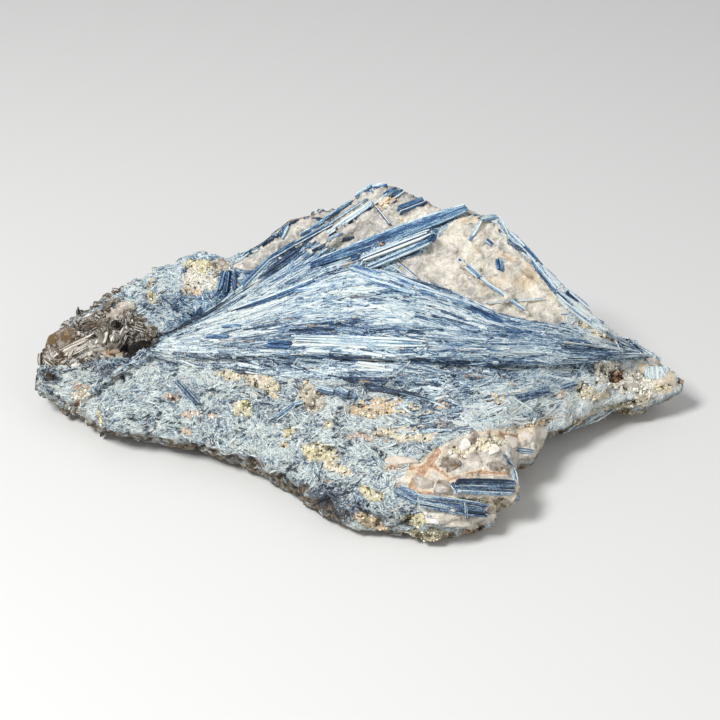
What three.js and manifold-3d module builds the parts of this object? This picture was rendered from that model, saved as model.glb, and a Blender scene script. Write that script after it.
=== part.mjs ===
// A hand specimen of kyanite in vein quartz, one rock, in millimetres, +Z up, resting on its flat underside.
//
// The rock is long along X and leans back along +Y. A spray of kyanite fans out from the right-hand end and lies
// on the front of it, a pair of long blades crosses the crest, pale quartz fills the slopes behind them, and a
// lump of grey-brown mica closes the left-hand end. The shape is lofted over named lines that run from the left
// end to the right, as a ship's hull is faired, and the blades that stand proud are joined to it.

import * as THREE from "three";
import { ImprovedNoise } from "three/addons/math/ImprovedNoise.js";
import { mergeVertices } from "three/addons/utils/BufferGeometryUtils.js";
import Module from "manifold-3d";

// ---- driving dimensions -------------------------------------------------------------------------------------

const LEFT_END = -128; // x of the last full section at each end
const RIGHT_END = 128;
const STATIONS = 74; // sections along the length
const NOSE_LENGTH = 2.6; // how far the rounded ends reach past the last section
const NOSE_SCALE = 0.62; // and how much of the section is left there

const FRONT_UNDERCUT = 1.7; // the underside starts this far behind the lower front edge, times the edge's height
const BACK_SHOULDER = [4, -5]; // y and z steps from the rim to the shoulder behind it
const FOLD_RECESS = [2.5, -4.5]; // y and z steps from the fold to the groove under it

const COARSE_ROUGHNESS = { amount: 2.2, size: 17 }; // broken lumps
const FINE_ROUGHNESS = { amount: 1.0, size: 6.5 }; // grain
const ROUGH_FROM = [1, 9]; // roughness starts at the first height and is full at the second

// ---- the lines of the rock, each a list of [x, y, z] from the left end to the right --------------------------

// The lowest edge of the front, just above the ground.
const FRONT_EDGE = [
  [-128, 18, 9], [-121, 12, 8], [-114, 7, 7], [-103, -2, 6], [-83, -8, 5], [-61, -15, 4], [-37, -29, 4],
  [-19, -46, 4], [-4, -59, 4], [9, -61, 4], [26, -66, 4], [37, -62, 5], [46, -55, 6], [53, -48, 7], [56, -42, 8],
  [58, -31, 9], [65, -27, 10], [69, -18, 10], [73, -12, 10], [83, -5, 10], [96, 4, 10], [108, 8, 10],
  [119, 11, 10], [128, 15, 12],
];
// The lip above it, where the front face turns under.
const LIP = [
  [-128, 16, 13], [-114, 5, 13], [-102, -8, 13], [-82, -15, 14], [-60, -22, 14], [-36, -34, 15], [-19, -49, 15],
  [-4, -61, 15], [9, -64, 15], [25, -69, 15], [36, -66, 16], [45, -60, 17], [52, -54, 18], [55, -48, 19],
  [57, -37, 19], [64, -34, 19], [68, -25, 18], [71, -19, 17], [82, -11, 17], [95, 0, 17], [107, 5, 16],
  [118, 9, 15], [128, 15, 14],
];
// The fold where the steep front face meets the lower border of the spray.
const FOLD = [
  [-128, 13, 15], [-111, 1, 17], [-105, 2, 22], [-96, 4, 29], [-82, 4, 38], [-62, 0, 42], [-46, -3, 44],
  [-23, -8, 47], [26, -15, 50], [69, -5, 42], [94, 6, 34], [112, 18, 27], [123, 19, 20], [128, 17, 15],
];
// The crest of the front mass, which on the right is the upper border of the spray.
const CREST = [
  [-128, 15, 17], [-111, 4, 19], [-105, 5, 24], [-96, 7, 30], [-82, 9, 39], [-63, 18, 44], [-44, 24, 50],
  [-24, 31, 58], [-12, 29, 64], [8, 20, 65], [35, 10, 60], [54, 2, 54], [77, 1, 45], [94, 9, 37], [113, 21, 28],
  [123, 21, 20], [128, 18, 15],
];
// The hollow behind the crest: deep on the left, a shallow groove along the quartz on the right.
const HOLLOW = [
  [-128, 18, 15], [-121, 15, 13], [-108, 13, 18], [-95, 18, 20], [-82, 24, 26], [-63, 30, 33], [-44, 33, 42],
  [-28, 36, 53], [-12, 33, 62], [8, 23, 63.5], [35, 13, 58.5], [54, 5, 53], [77, 4, 44], [94, 11, 36],
  [113, 22, 27], [128, 19, 16],
];
// The slope between the hollow and the rim: mica lumps on the left, quartz on the right.
const SLOPE = [
  [-128, 20, 20], [-121, 25, 22], [-105, 30, 29], [-86, 41, 38], [-65, 46, 44], [-45, 46, 52], [-24, 47, 60],
  [2, 38, 73], [23, 35, 77], [35, 28, 71], [55, 27, 67], [78, 13, 53], [94, 14, 41], [112, 22, 27], [128, 20, 17],
];
// The rim along the top of the back.
const RIM = [
  [-128, 27, 25], [-122, 34, 30], [-112, 41, 34], [-100, 47, 40], [-87, 55, 45], [-74, 57, 50], [-49, 53, 55],
  [-39, 52, 61], [-24, 56, 69], [-8, 54, 77], [8, 54, 86], [16, 52, 85], [29, 44, 81], [44, 40, 81], [50, 39, 78],
  [56, 36, 76], [63, 29, 72], [78, 20, 58], [95, 20, 42], [110, 21, 30], [121, 22, 22], [128, 21, 17],
];
// The knee half-way down the back, and the back foot.
const KNEE = [
  [-128, 32, 14], [-110, 50, 20], [-85, 66, 24], [-60, 64, 30], [-35, 71, 34], [-5, 67, 50], [20, 70, 42],
  [50, 58, 48], [75, 44, 30], [100, 36, 20], [128, 26, 10],
];
const BACK_FOOT = [
  [-128, 27, 0], [-108, 48, 0], [-80, 69, 0], [-50, 68, 0], [-20, 73, 0], [10, 74, 0], [40, 72, 0], [62, 60, 0],
  [90, 47, 0], [112, 39, 0], [128, 24, 0],
];

// How many steps the section takes across each stretch between lines, and how far each stretch swells outwards.
const APRON = { steps: 6, swell: 3 };
const SPRAY = { steps: 4, swell: 2 };
const CREST_BACK = { steps: 2, swell: 0 };
const HOLLOW_SIDE = { steps: 3, swell: 0 };
const UPPER_SLOPE = { steps: 4, swell: 1 };
const UPPER_BACK = { steps: 4, swell: 1.5 };
const LOWER_BACK = { steps: 3, swell: 2 };

// ---- blades that stand proud of the rock ---------------------------------------------------------------------

// Each blade runs from one point to another, is width across and thick through, and lies flat towards `up`.
const BLADES = [
  // the long pair over the crest, and the split one in front of them
  { from: [-44, 21, 49.5], to: [46, 37, 80.5], width: 5.5, thick: 5, up: [0, -0.5, 0.86] },
  { from: [-12, 26, 61], to: [28, 30, 74.5], width: 5, thick: 5, up: [0, -0.5, 0.86] },
  // on the quartz slope left of the crest, and the short one near the top
  { from: [-14, 39, 67], to: [6, 45, 79], width: 3.5, thick: 4, up: [0, -0.5, 0.86] },
  { from: [14, 41, 79.5], to: [25, 44, 80.5], width: 3.5, thick: 4, up: [0, -0.5, 0.86] },
  // across the right-hand quartz face
  { from: [38, 21, 70], to: [64, 8, 54], width: 2.2, thick: 4, up: [0.3, -0.5, 0.8] },
  // along the right-hand rim
  { from: [55, 31, 74], to: [77, 17, 58.5], width: 5.5, thick: 4, up: [0.5, -0.2, 0.86] },
  { from: [76, 17, 58.5], to: [96, 15, 41], width: 6, thick: 4, up: [0.5, -0.2, 0.86] },
  // stepped ends in the lower right corner
  { from: [33, -58, 23], to: [57, -51, 15], width: 8, thick: 8, up: [0, -0.6, 0.8] },
  { from: [19, -61, 21], to: [48, -58, 8], width: 6, thick: 6, up: [0, -0.6, 0.8] },
];
const BLADE_CHAMFER = 0.22; // share of the width taken off each long edge

// ---- broken faces: planes that trim the back, each by a point on it and its outward normal --------------------

const BREAKS = [
  { at: [30, 63.5, 40], facing: [0.3, 1, 0.25] },
  { at: [-60, 65, 28], facing: [-0.2, 1, 0.15] },
  { at: [96, 33, 22], facing: [0.55, 1, 0.3] },
];
const BREAK_BLOCK = 400; // side of the block that each break takes off

// ---- helpers -------------------------------------------------------------------------------------------------

const wasm = await Module();
wasm.setup();

// The solid of a closed geometry, for joining and cutting.
function solidOf(geometry) {
  const bare = geometry.clone();
  bare.deleteAttribute("normal");
  bare.deleteAttribute("uv");
  const merged = mergeVertices(bare, 1e-4);
  return new wasm.Manifold(
    new wasm.Mesh({
      numProp: 3,
      vertProperties: merged.attributes.position.array,
      triVerts: new Uint32Array(merged.index.array),
    }),
  );
}

function geometryOf(solid) {
  const mesh = solid.getMesh();
  const positions = new Float32Array(mesh.numVert * 3);
  for (let i = 0; i < mesh.numVert; i++)
    positions.set(mesh.vertProperties.subarray(i * mesh.numProp, i * mesh.numProp + 3), i * 3);
  const geometry = new THREE.BufferGeometry();
  geometry.setAttribute("position", new THREE.BufferAttribute(positions, 3));
  geometry.setIndex(new THREE.BufferAttribute(mesh.triVerts, 1));
  geometry.computeVertexNormals();
  return geometry;
}

const slopeAt = (line, i, axis) => {
  const before = line[Math.max(i - 1, 0)];
  const after = line[Math.min(i + 1, line.length - 1)];
  return (after[axis] - before[axis]) / (after[0] - before[0]);
};

// The point of a line at x: a cubic through the line's points, held at its ends.
function pointAt(line, x) {
  const last = line.length - 1;
  const held = THREE.MathUtils.clamp(x, line[0][0], line[last][0]);
  let i = 0;
  while (i < last - 1 && line[i + 1][0] < held) i++;
  const [a, b] = [line[i], line[i + 1]];
  const span = b[0] - a[0];
  const t = (held - a[0]) / span;
  const cubic = (axis) =>
    (1 + 2 * t) * (1 - t) ** 2 * a[axis] +
    t * (1 - t) ** 2 * span * slopeAt(line, i, axis) +
    t * t * (3 - 2 * t) * b[axis] +
    t * t * (t - 1) * span * slopeAt(line, i + 1, axis);
  return new THREE.Vector3(x, cubic(1), cubic(2));
}

// Points after `a` up to and including `b`, swollen outwards in the section's plane.
function stretch(a, b, { steps, swell }) {
  const across = new THREE.Vector3(0, -(b.z - a.z), b.y - a.y).normalize();
  return Array.from({ length: steps }, (_, i) => {
    const t = (i + 1) / steps;
    return a.clone().lerp(b, t).addScaledVector(across, swell * Math.sin(Math.PI * t));
  });
}

// One closed section at x, from the front foot over the top to the back foot.
function sectionAt(x) {
  const [edge, lip, fold, crest, hollow] = [FRONT_EDGE, LIP, FOLD, CREST, HOLLOW].map((line) => pointAt(line, x));
  const [slope, rim, knee, backFoot] = [SLOPE, RIM, KNEE, BACK_FOOT].map((line) => pointAt(line, x));
  const groove = fold.clone().add(new THREE.Vector3(0, ...FOLD_RECESS));
  const shoulder = rim.clone().add(new THREE.Vector3(0, ...BACK_SHOULDER));
  return [
    new THREE.Vector3(x, edge.y + FRONT_UNDERCUT * edge.z, 0),
    edge,
    lip,
    ...stretch(lip, groove, APRON),
    fold,
    ...stretch(fold, crest, SPRAY),
    ...stretch(crest, hollow, CREST_BACK),
    ...stretch(hollow, slope, HOLLOW_SIDE),
    ...stretch(slope, rim, UPPER_SLOPE),
    shoulder,
    ...stretch(shoulder, knee, UPPER_BACK),
    ...stretch(knee, backFoot, LOWER_BACK),
  ];
}

const middleOf = (points) =>
  points.reduce((sum, p) => sum.add(p), new THREE.Vector3()).divideScalar(points.length);

// A section drawn in towards its middle and moved out along x, which rounds an end off.
function noseOf(section, dx) {
  const middle = middleOf(section);
  return section.map((p) => {
    const q = middle.clone().lerp(p, NOSE_SCALE).add(new THREE.Vector3(dx, 0, 0));
    return p.z === 0 ? q.setZ(middle.z * (1 - NOSE_SCALE)) : q;
  });
}

// The lofted rock before its blades and breaks.
function loftedRock() {
  const sections = Array.from({ length: STATIONS }, (_, i) =>
    sectionAt(THREE.MathUtils.lerp(LEFT_END, RIGHT_END, i / (STATIONS - 1))),
  );
  sections.unshift(noseOf(sections[0], -NOSE_LENGTH));
  sections.push(noseOf(sections.at(-1), NOSE_LENGTH));

  const around = sections[0].length;
  const points = sections.flat();
  const leftCap = points.push(middleOf(sections[0])) - 1;
  const rightCap = points.push(middleOf(sections.at(-1))) - 1;
  const triangles = [];
  for (let s = 0; s < sections.length - 1; s++)
    for (let k = 0; k < around; k++) {
      const [a, b] = [s * around + k, s * around + ((k + 1) % around)];
      triangles.push(a, a + around, b, b, a + around, b + around);
    }
  const lastRing = (sections.length - 1) * around;
  for (let k = 0; k < around; k++) {
    const next = (k + 1) % around;
    triangles.push(leftCap, k, next, rightCap, lastRing + next, lastRing + k);
  }
  const geometry = new THREE.BufferGeometry().setFromPoints(points);
  geometry.setIndex(triangles);
  roughen(geometry);
  return solidOf(geometry);
}

// Moves each point in or out along its normal by two sizes of noise, and leaves the underside flat.
function roughen(geometry) {
  geometry.computeVertexNormals();
  const noise = new ImprovedNoise();
  const { position, normal } = geometry.attributes;
  const p = new THREE.Vector3();
  const n = new THREE.Vector3();
  const grain = ({ amount, size }) => amount * noise.noise(p.x / size, p.y / size, p.z / size);
  for (let i = 0; i < position.count; i++) {
    p.fromBufferAttribute(position, i);
    n.fromBufferAttribute(normal, i);
    const share = THREE.MathUtils.smoothstep(p.z, ...ROUGH_FROM);
    const move = share * (grain(COARSE_ROUGHNESS) + grain(FINE_ROUGHNESS));
    p.addScaledVector(n, move);
    position.setXYZ(i, p.x, p.y, p.z);
  }
}

// A flat crystal with chamfered long edges.
function bladeSolid({ from, to, width, thick, up }) {
  const start = new THREE.Vector3(...from);
  const along = new THREE.Vector3(...to).sub(start);
  const length = along.length();
  along.normalize();
  const side = new THREE.Vector3().crossVectors(new THREE.Vector3(...up), along).normalize();
  const face = new THREE.Vector3().crossVectors(along, side);
  const [w, t] = [width / 2, thick / 2];
  const c = width * BLADE_CHAMFER;
  const outline = new THREE.Shape([
    new THREE.Vector2(-w, -t),
    new THREE.Vector2(w, -t),
    new THREE.Vector2(w, t - c),
    new THREE.Vector2(w - c, t),
    new THREE.Vector2(c - w, t),
    new THREE.Vector2(-w, t - c),
  ]);
  const geometry = new THREE.ExtrudeGeometry(outline, { depth: length, bevelEnabled: false, steps: 1 });
  geometry.applyMatrix4(new THREE.Matrix4().makeBasis(side, face, along).setPosition(start));
  return solidOf(geometry);
}

// The block beyond a broken face.
function breakSolid({ at, facing }) {
  const outward = new THREE.Vector3(...facing).normalize();
  const block = new THREE.BoxGeometry(BREAK_BLOCK, BREAK_BLOCK, BREAK_BLOCK);
  const turn = new THREE.Quaternion().setFromUnitVectors(new THREE.Vector3(0, 0, 1), outward);
  const middle = new THREE.Vector3(...at).addScaledVector(outward, BREAK_BLOCK / 2);
  block.applyMatrix4(new THREE.Matrix4().compose(middle, turn, new THREE.Vector3(1, 1, 1)));
  return solidOf(block);
}

// ---- the object ----------------------------------------------------------------------------------------------

function specimen() {
  let rock = loftedRock();
  for (const broken of BREAKS) rock = rock.subtract(breakSolid(broken));
  for (const blade of BLADES) rock = rock.add(bladeSolid(blade));
  const stone = new THREE.MeshStandardMaterial({ color: 0x9fb2c4, roughness: 0.62, metalness: 0 });
  const mesh = new THREE.Mesh(geometryOf(rock), stone);
  mesh.name = "kyanite_cluster";
  return mesh;
}

const cluster = new THREE.Group();
cluster.add(specimen());

// The origin is under the middle of the rock, on the ground.
const box = new THREE.Box3().setFromObject(cluster);
cluster.position.set(-(box.min.x + box.max.x) / 2, -(box.min.y + box.max.y) / 2, -box.min.z);

export default cluster;
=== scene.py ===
"""Kyanite in vein quartz, one hand specimen: the looks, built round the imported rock.

The rock's own mesh is refined and roughened, and crystals are laid on it: the blades of the spray, the long
blades over the crest, matted needles, mica flakes and grains. Lengths are in millimetres until a mesh is
made. Places on the front are given on the face: x along the rock, and t up the face, which leans back by LEAN.
"""

import itertools
import math

import bpy
import numpy as np
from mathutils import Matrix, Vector
from mathutils.bvhtree import BVHTree
from mathutils.kdtree import KDTree


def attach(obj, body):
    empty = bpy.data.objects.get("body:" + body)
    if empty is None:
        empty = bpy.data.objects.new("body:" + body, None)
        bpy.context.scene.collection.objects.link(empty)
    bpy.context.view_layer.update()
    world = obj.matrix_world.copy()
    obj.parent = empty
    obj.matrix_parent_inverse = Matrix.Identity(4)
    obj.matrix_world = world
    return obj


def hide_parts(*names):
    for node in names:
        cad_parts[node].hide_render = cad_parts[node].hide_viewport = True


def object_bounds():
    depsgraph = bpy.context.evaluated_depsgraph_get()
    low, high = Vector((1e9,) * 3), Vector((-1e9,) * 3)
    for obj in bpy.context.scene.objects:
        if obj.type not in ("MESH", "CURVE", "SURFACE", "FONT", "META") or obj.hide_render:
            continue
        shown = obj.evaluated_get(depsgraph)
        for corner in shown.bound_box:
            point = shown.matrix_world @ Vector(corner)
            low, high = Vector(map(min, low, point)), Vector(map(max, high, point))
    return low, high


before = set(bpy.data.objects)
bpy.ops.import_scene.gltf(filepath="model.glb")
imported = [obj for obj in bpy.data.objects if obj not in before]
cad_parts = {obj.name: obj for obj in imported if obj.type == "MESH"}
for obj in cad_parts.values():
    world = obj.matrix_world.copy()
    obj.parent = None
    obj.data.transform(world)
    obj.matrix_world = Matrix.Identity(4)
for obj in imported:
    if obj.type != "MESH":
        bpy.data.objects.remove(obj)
CAD_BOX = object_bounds()

bl_info = {
    "name": "Kyanite specimen",
    "version": (1, 0, 0),
    "blender": (4, 5, 0),
    "location": "3D View > Sidebar > Kyanite",
    "description": "Builds a hand specimen of kyanite in vein quartz",
    "category": "Add Mesh",
}

MM = 0.001
NODE = "kyanite_cluster"
LEAN = math.radians(35)
OUT = np.array([0.0, -math.cos(LEAN), math.sin(LEAN)])  # straight out of the face
UP = np.array([0.0, math.sin(LEAN), math.cos(LEAN)])  # up the face
ALONG = np.array([1.0, 0.0, 0.0])
OVER = 0.5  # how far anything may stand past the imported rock's box
WHITEST = 0.84  # the tone of the palest blades

# ---- where things are on the face, as (x, t) in millimetres --------------------------------------

MEETING = (112, 33)  # where the fibres of the spray meet
# Fibres of the spray, from the point where they meet to their far ends, top to bottom.
SPRAY_LINES = [
    [
        (112, 34), (76, 44), (56, 47), (38, 56), (23, 61), (10, 65), (-3, 67), (-20, 61), (-35, 54),
        (-53, 48), (-69, 42), (-80, 38),
    ],
    [
        (112, 33.7), (77, 41), (54, 45), (31, 54), (12, 58), (-6, 58), (-23, 54), (-38, 49), (-60, 43),
        (-80, 37.3),
    ],
    [(112, 33.3), (77, 38), (46, 41), (23, 45), (0, 47), (-23, 46), (-43, 43), (-60, 39), (-80, 36.5)],
    [(112, 32.8), (69, 35), (34, 37), (8, 38), (-23, 38), (-50, 36), (-70, 35.5), (-80, 35.6)],
    [(112, 31.5), (84, 28.6), (34, 28.4), (8, 30), (-23, 31.5), (-50, 32.5), (-76, 34), (-80, 34.8)],
]
# Fibres of the left-hand spray, which opens the other way, bottom to top.
LEFT_LINES = [
    [(-84, 37.5), (-69, 42), (-53, 48), (-35, 54), (-20, 61), (-3, 68), (12, 73)],
    [(-84, 38.2), (-69, 44), (-53, 52), (-35, 62), (-20, 71), (-3, 82), (12, 91)],
    [(-84, 39), (-71, 45), (-57, 53), (-43, 64), (-34, 72), (-25, 79), (-11, 91), (12, 102)],
]
# Fibres of the right-hand half of the lower front, top to bottom.
LOWER_LINES = [
    [(112, 30.6), (84, 28), (34, 26), (6, 25)],
    [(112, 30), (84, 22), (50, 17), (6, 13)],
    [(112, 29), (95, 15), (75, 7), (50, 4), (6, 2)],
]
# Fibres below the left-hand half of the spray, top to bottom.
FOOT_LINES = [
    [(-86, 35.5), (-76, 33.6), (-50, 32), (-23, 31), (8, 29.6), (34, 28)],
    [(-86, 33), (-64, 27.5), (-40, 25), (-15, 23), (8, 21.5), (34, 20)],
]
# Fibres along the right-hand rim, inner edge to outer.
RIM_LINES = [
    [(54, 80), (66, 68), (72, 61), (75, 55), (84, 47), (94, 41), (112, 33.5)],
    [(54, 86), (61, 80), (66, 74), (74, 64), (84, 55), (94, 47), (112, 36)],
]
QUARTZ_FACES = {
    "right": [
        (14, 68), (25, 72), (35, 83), (41, 88), (47, 86), (54, 87), (58, 77), (66, 68), (72, 61),
        (75, 55), (81, 46), (76, 44), (56, 46), (47, 52), (38, 56), (29, 60), (16, 63),
    ],
    "left": [
        (-24, 74), (-15, 71), (-4, 70), (8, 77), (23, 84), (33, 90), (28, 96), (16, 101), (0, 97),
        (-12, 90), (-24, 80),
    ],
    "slope": [
        (-52, 68), (-45, 73), (-36, 78), (-24, 87), (-12, 93), (-4, 96), (-3, 92), (-12, 85), (-24, 76),
        (-34, 69), (-42, 66),
    ],
    "tip": [
        (111, 29), (118, 30), (124, 27), (129, 23), (128, 18), (121, 16.5), (114, 18), (110, 23),
    ],
    "lower right": [
        (12, -16), (20, -7), (29, -2), (41, 4), (52, 5), (64, 6), (72, 4), (71, -6), (61, -8), (60, -16),
        (52, -28), (40, -32), (28, -28),
    ],
}
MICA_END = [
    (-133, 34), (-121, 43), (-108, 50), (-100, 56), (-94, 54), (-89, 48), (-84, 43), (-80, 39),
    (-85, 34.5), (-92, 31.5), (-100, 31), (-108, 30.5), (-116, 27), (-133, 29),
]

# Granular patches: (x, t, half length, half height, turn in degrees, colour name).
PATCHES = [
    (-39, 49.6, 9, 1.3, 16, "chalk"), (-7, 55, 6, 1, 6, "cream"), (-24, 33, 3, 1.4, 0, "cream"),
    (-66, 69, 7, 3, 0, "lemon"), (-65, 63, 8, 4.5, 0, "chalk"), (-69, 58, 4, 2, 0, "ochre"),
    (-85, 61, 2, 2, 0, "lemon"), (-85, 56, 2.6, 1.8, 0, "lemon"), (-56, 69, 3.2, 3.2, 0, "drab"),
    (-102, 52, 3.5, 4.5, 0, "drab"), (10, 92.5, 3.6, 2, 30, "ochre"), (-27, 68, 2.2, 1.8, 0, "cream"),
    (-31, 64, 3, 1.8, 30, "cream"), (3, 56, 4, 1.6, 0, "cream"), (-50, 25, 6, 1.7, 5, "cream"),
    (-38, 22, 7, 3.6, -25, "cream"), (-45, 12.4, 3.8, 3.8, 0, "lemon"), (-72, 16, 2.5, 2, 0, "salmon"),
    (-65, 10, 4, 1.9, 0, "salmon"), (-57, 9, 2.4, 1.2, 0, "salmon"), (-67, 3, 2.4, 1.5, 0, "salmon"),
    (-69, 33, 1.6, 1.3, 0, "salmon"), (-102, 9, 1.6, 5, 0, "lemon"), (-18.4, 15.4, 4.6, 5.4, -20, "drab"),
    (-20, 20, 2.4, 2.4, 0, "cream"), (6, 12.6, 10.5, 3.2, 5, "ochre"), (19, 12.2, 8.5, 3.2, -3, "cream"),
    (30.4, 13.4, 4.4, 2.4, 0, "salmon"), (21, 20, 2.4, 1.1, 0, "cream"), (-27, 4, 3, 2.4, 0, "lemon"),
    (20.6, 4, 12, 3, 2, "cream"), (1, 2, 7, 1.3, 0, "salmon"), (-29, -1, 2.4, 1.6, 0, "ochre"),
    (-15, -4, 7.4, 3.6, -10, "lemon"), (9, 4.4, 5, 1.6, 4, "cream"), (-33, 17, 2, 1.2, 0, "ochre"),
    (-12, 6, 2.6, 1.4, 0, "lemon"), (-9, -10, 6, 2.4, -10, "cream"), (19.5, -27.4, 5.6, 3.2, 0, "lemon"),
    (4, -18, 5.4, 2.8, -20, "lemon"), (20, -35, 13, 2.6, 4, "lemon"), (4, -30, 9, 2.4, -30, "ochre"),
    (44, -1, 12, 3, 15, "cream"), (60, 26, 2.5, 1.1, 0, "salmon"), (51.6, 15.8, 4.6, 2.4, 0, "ochre"),
    (77, 17, 2, 2, 0, "salmon"), (94, 16, 5, 2, 0, "cream"), (67, 7, 12, 1.9, 15, "ochre"),
    # The three chalk patches of the tip, round (106, 22), are partly painted light, made paler because the tip
    # faces away from the key lamp.
    (98, 25, 6.5, 5.6, 0, "chalk"), (106, 22, 8, 5.4, 0, "chalk"), (113, 20, 6, 4, 0, "chalk"),
    (112, 14.5, 4, 2.2, 0, "cream"), (88, 18.5, 4, 3.4, 0, "cream"), (90, 44, 7, 2.4, -40, "cream"),
    (80, 51, 2.2, 4.5, 40, "ochre"), (99, 38.4, 5, 1.4, -34, "cream"), (73, 60.6, 3, 1.2, -50, "cream"),
    (93, 47.6, 3.6, 1.4, -38, "cream"), (121, 19.4, 4, 1.4, 0, "lemon"), (84, 5.5, 13, 1.3, 26, "cream"),
    (106, 12, 10, 1.1, 6, "cream"), (44, -24, 8, 3, 15, "cream"), (-110, 16, 4, 2.2, 0, "cream"),
]
PATCH_COLOURS = {
    "cream": (243, 230, 198), "ochre": (238, 208, 160), "lemon": (236, 226, 174), "chalk": (246, 243, 230),
    "salmon": (226, 194, 170), "drab": (204, 194, 176),
}
# Holes in the patches, sunk and painted near black inside as shade: (x, t, radius, depth). The first one, near
# the tip, is lined with brown crystals.
PITS = [
    (101, 23.5, 2.7, 3.2), (-43, 14, 1.4, 2), (-85, 56.5, 1.4, 2), (-57, 66, 1.6, 1.6),
    (-20, 13, 1.3, 1.5), (43, -4, 1.2, 1.2), (-104, 12, 1.2, 1.2), (-30, -14, 1.5, 1.6),
    (-21, -17, 1.3, 1.4), (-12, -21, 1.6, 1.6), (-3, -24, 1.3, 1.4), (3, -27, 1.4, 1.5),
    (-42, -8, 1.2, 1.2), (-8, -15, 1.1, 1.2), (12, -25, 1.2, 1.3), (-24, -9, 1.0, 1.2),
    (47, 65, 1.2, 0.8),
]
# Places where the rock is fuller: (x, t, radius, height).
SWELLS = [
    (124, 25, 6, 2.2), (118, 29, 5, 1.2),
]
# Iron-stained cracks: the points of each and its half width.
IRON_CRACKS = [
    ([(10, -9.4), (20, -9.2), (27, -8.5)], 0.6),
    ([(19, -15.6), (22.6, -10.4), (28.6, -3.6)], 1.3),
    ([(19, -16.5), (28, -19), (41, -22)], 0.6),
    ([(32, -13.5), (44, -11), (58, -12)], 0.5),
    ([(27, -8.5), (32, -12)], 0.5),
    ([(52, 3), (58, 1), (64, 2)], 0.9),
    ([(-110, 15), (-114, 11)], 0.9),
    ([(-114, 20), (-109, 19)], 1.2),
    ([(-102, 33), (-97, 33)], 0.8),
    ([(-125, 33.6), (-120, 33)], 0.7),
    ([(-124, 31.4), (-121, 31)], 0.6),
    ([(55, 71.6), (60, 69.4)], 0.1),
]
# Places darker (below 0) or paler (above 0) than the rest: (x, t, half length, half height, turn, shift).
# Some shifts are painted light and shade: the dark band under the fold of the spray at (66, 29) and the dark
# pocket at the left-hand end of the crest round (-88, 35) are painted shade, and the paler tip at (112, 22),
# the paler right-hand rim at (88, 47) and, in part, the paler lower right at (72, 13) are painted light on
# faces turned from the key lamp.
TONES = [
    (-58, 40, 20, 8, 14, 0.12), (66, 29, 42, 2.6, 0, -0.2), (-31, 35, 5, 2.4, 0, -0.2),
    (0, 36, 27, 1.6, -2, 0.26), (20, 29, 8, 1.6, 0, -0.12), (5, 28, 6, 1.5, 0, 0.3),
    (-15, 33, 3, 0.8, 0, 0.3), (-38, 50, 10, 2, 14, 0.34), (3, 57, 12, 2.5, 8, 0.2),
    (-62, 45, 8, 1.6, 18, -0.14), (-88, 35, 8, 3, 10, -0.3), (-104, 24, 8, 2, 22, -0.12),
    (30, 49, 9, 1.6, -20, -0.16), (-12, 43, 12, 1.4, 4, -0.16), (45, 44, 20, 3, -12, -0.08),
    (-4, 47, 24, 6, 5, 0.06), (-69, 52, 17, 6, 10, -0.16), (-72, 45, 12, 3, 30, -0.16),
    (-53, 61, 4, 5, 0, -0.24), (-86, 35, 6, 4, 20, -0.35), (-5, -19, 9, 4, -25, -0.2),
    (-12, -23, 9, 4.4, -38, -0.5), (3, -27, 7, 2.6, -10, -0.3), (66, 17, 7, 2.3, 10, -0.25),
    (-10, 19, 7, 2.6, -10, -0.14), (10, 22, 20, 3, -8, -0.12), (-88, 60, 12, 5, 30, 0.06),
    (-95, 15, 12, 5, 0, 0.04), (45, 9, 18, 4, 12, -0.08), (-60, 20, 14, 8, 0, 0.03),
    (-105, 27, 9, 3, -15, -0.1), (112, 22, 14, 8, -6, 0.55), (-26, 80, 26, 8, 36, -0.35),
    (88, 47, 20, 7, -40, 0.62), (-96, 28.5, 10, 1.3, 12, -0.3), (-110, 27.5, 6, 1.2, 30, -0.2),
    (98, 34.5, 17, 3.4, 3, -0.28), (72, 13, 36, 9, 10, 0.44), (86, 20, 6, 3, 10, -0.35),
    (64, 9, 7, 2.4, 15, -0.3), (28, 7, 22, 4, 0, 0.08), (-114, 34.5, 7, 3.4, 25, 0.35),
    (-88, 36, 8, 2.6, 18, -0.5), (-111, 43.5, 8, 2.6, 32, -0.16), (-92, 34, 9, 2.4, 6, -0.2),
    (-102, 38.5, 1.2, 3, 8, -0.5), (-114, 22, 8, 5, 0, 0.04), (-126, 21, 5, 7, 0, -0.3),
    (5, 88, 22, 12, 35, -0.32), (-30, 82, 22, 6, 36, -0.4), (-125, 24, 3, 1.6, 0, -0.5),
    (-88, 22, 10, 5, 20, 0.08), (-76, 8, 12, 6, 0, 0.04),
]

# The brown weathered edge below the left-hand half.
WEATHERED = [
    (-66, -5), (-50, -9.4), (-38, -13.6), (-24, -20.5), (-13, -27.5),
]

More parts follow.
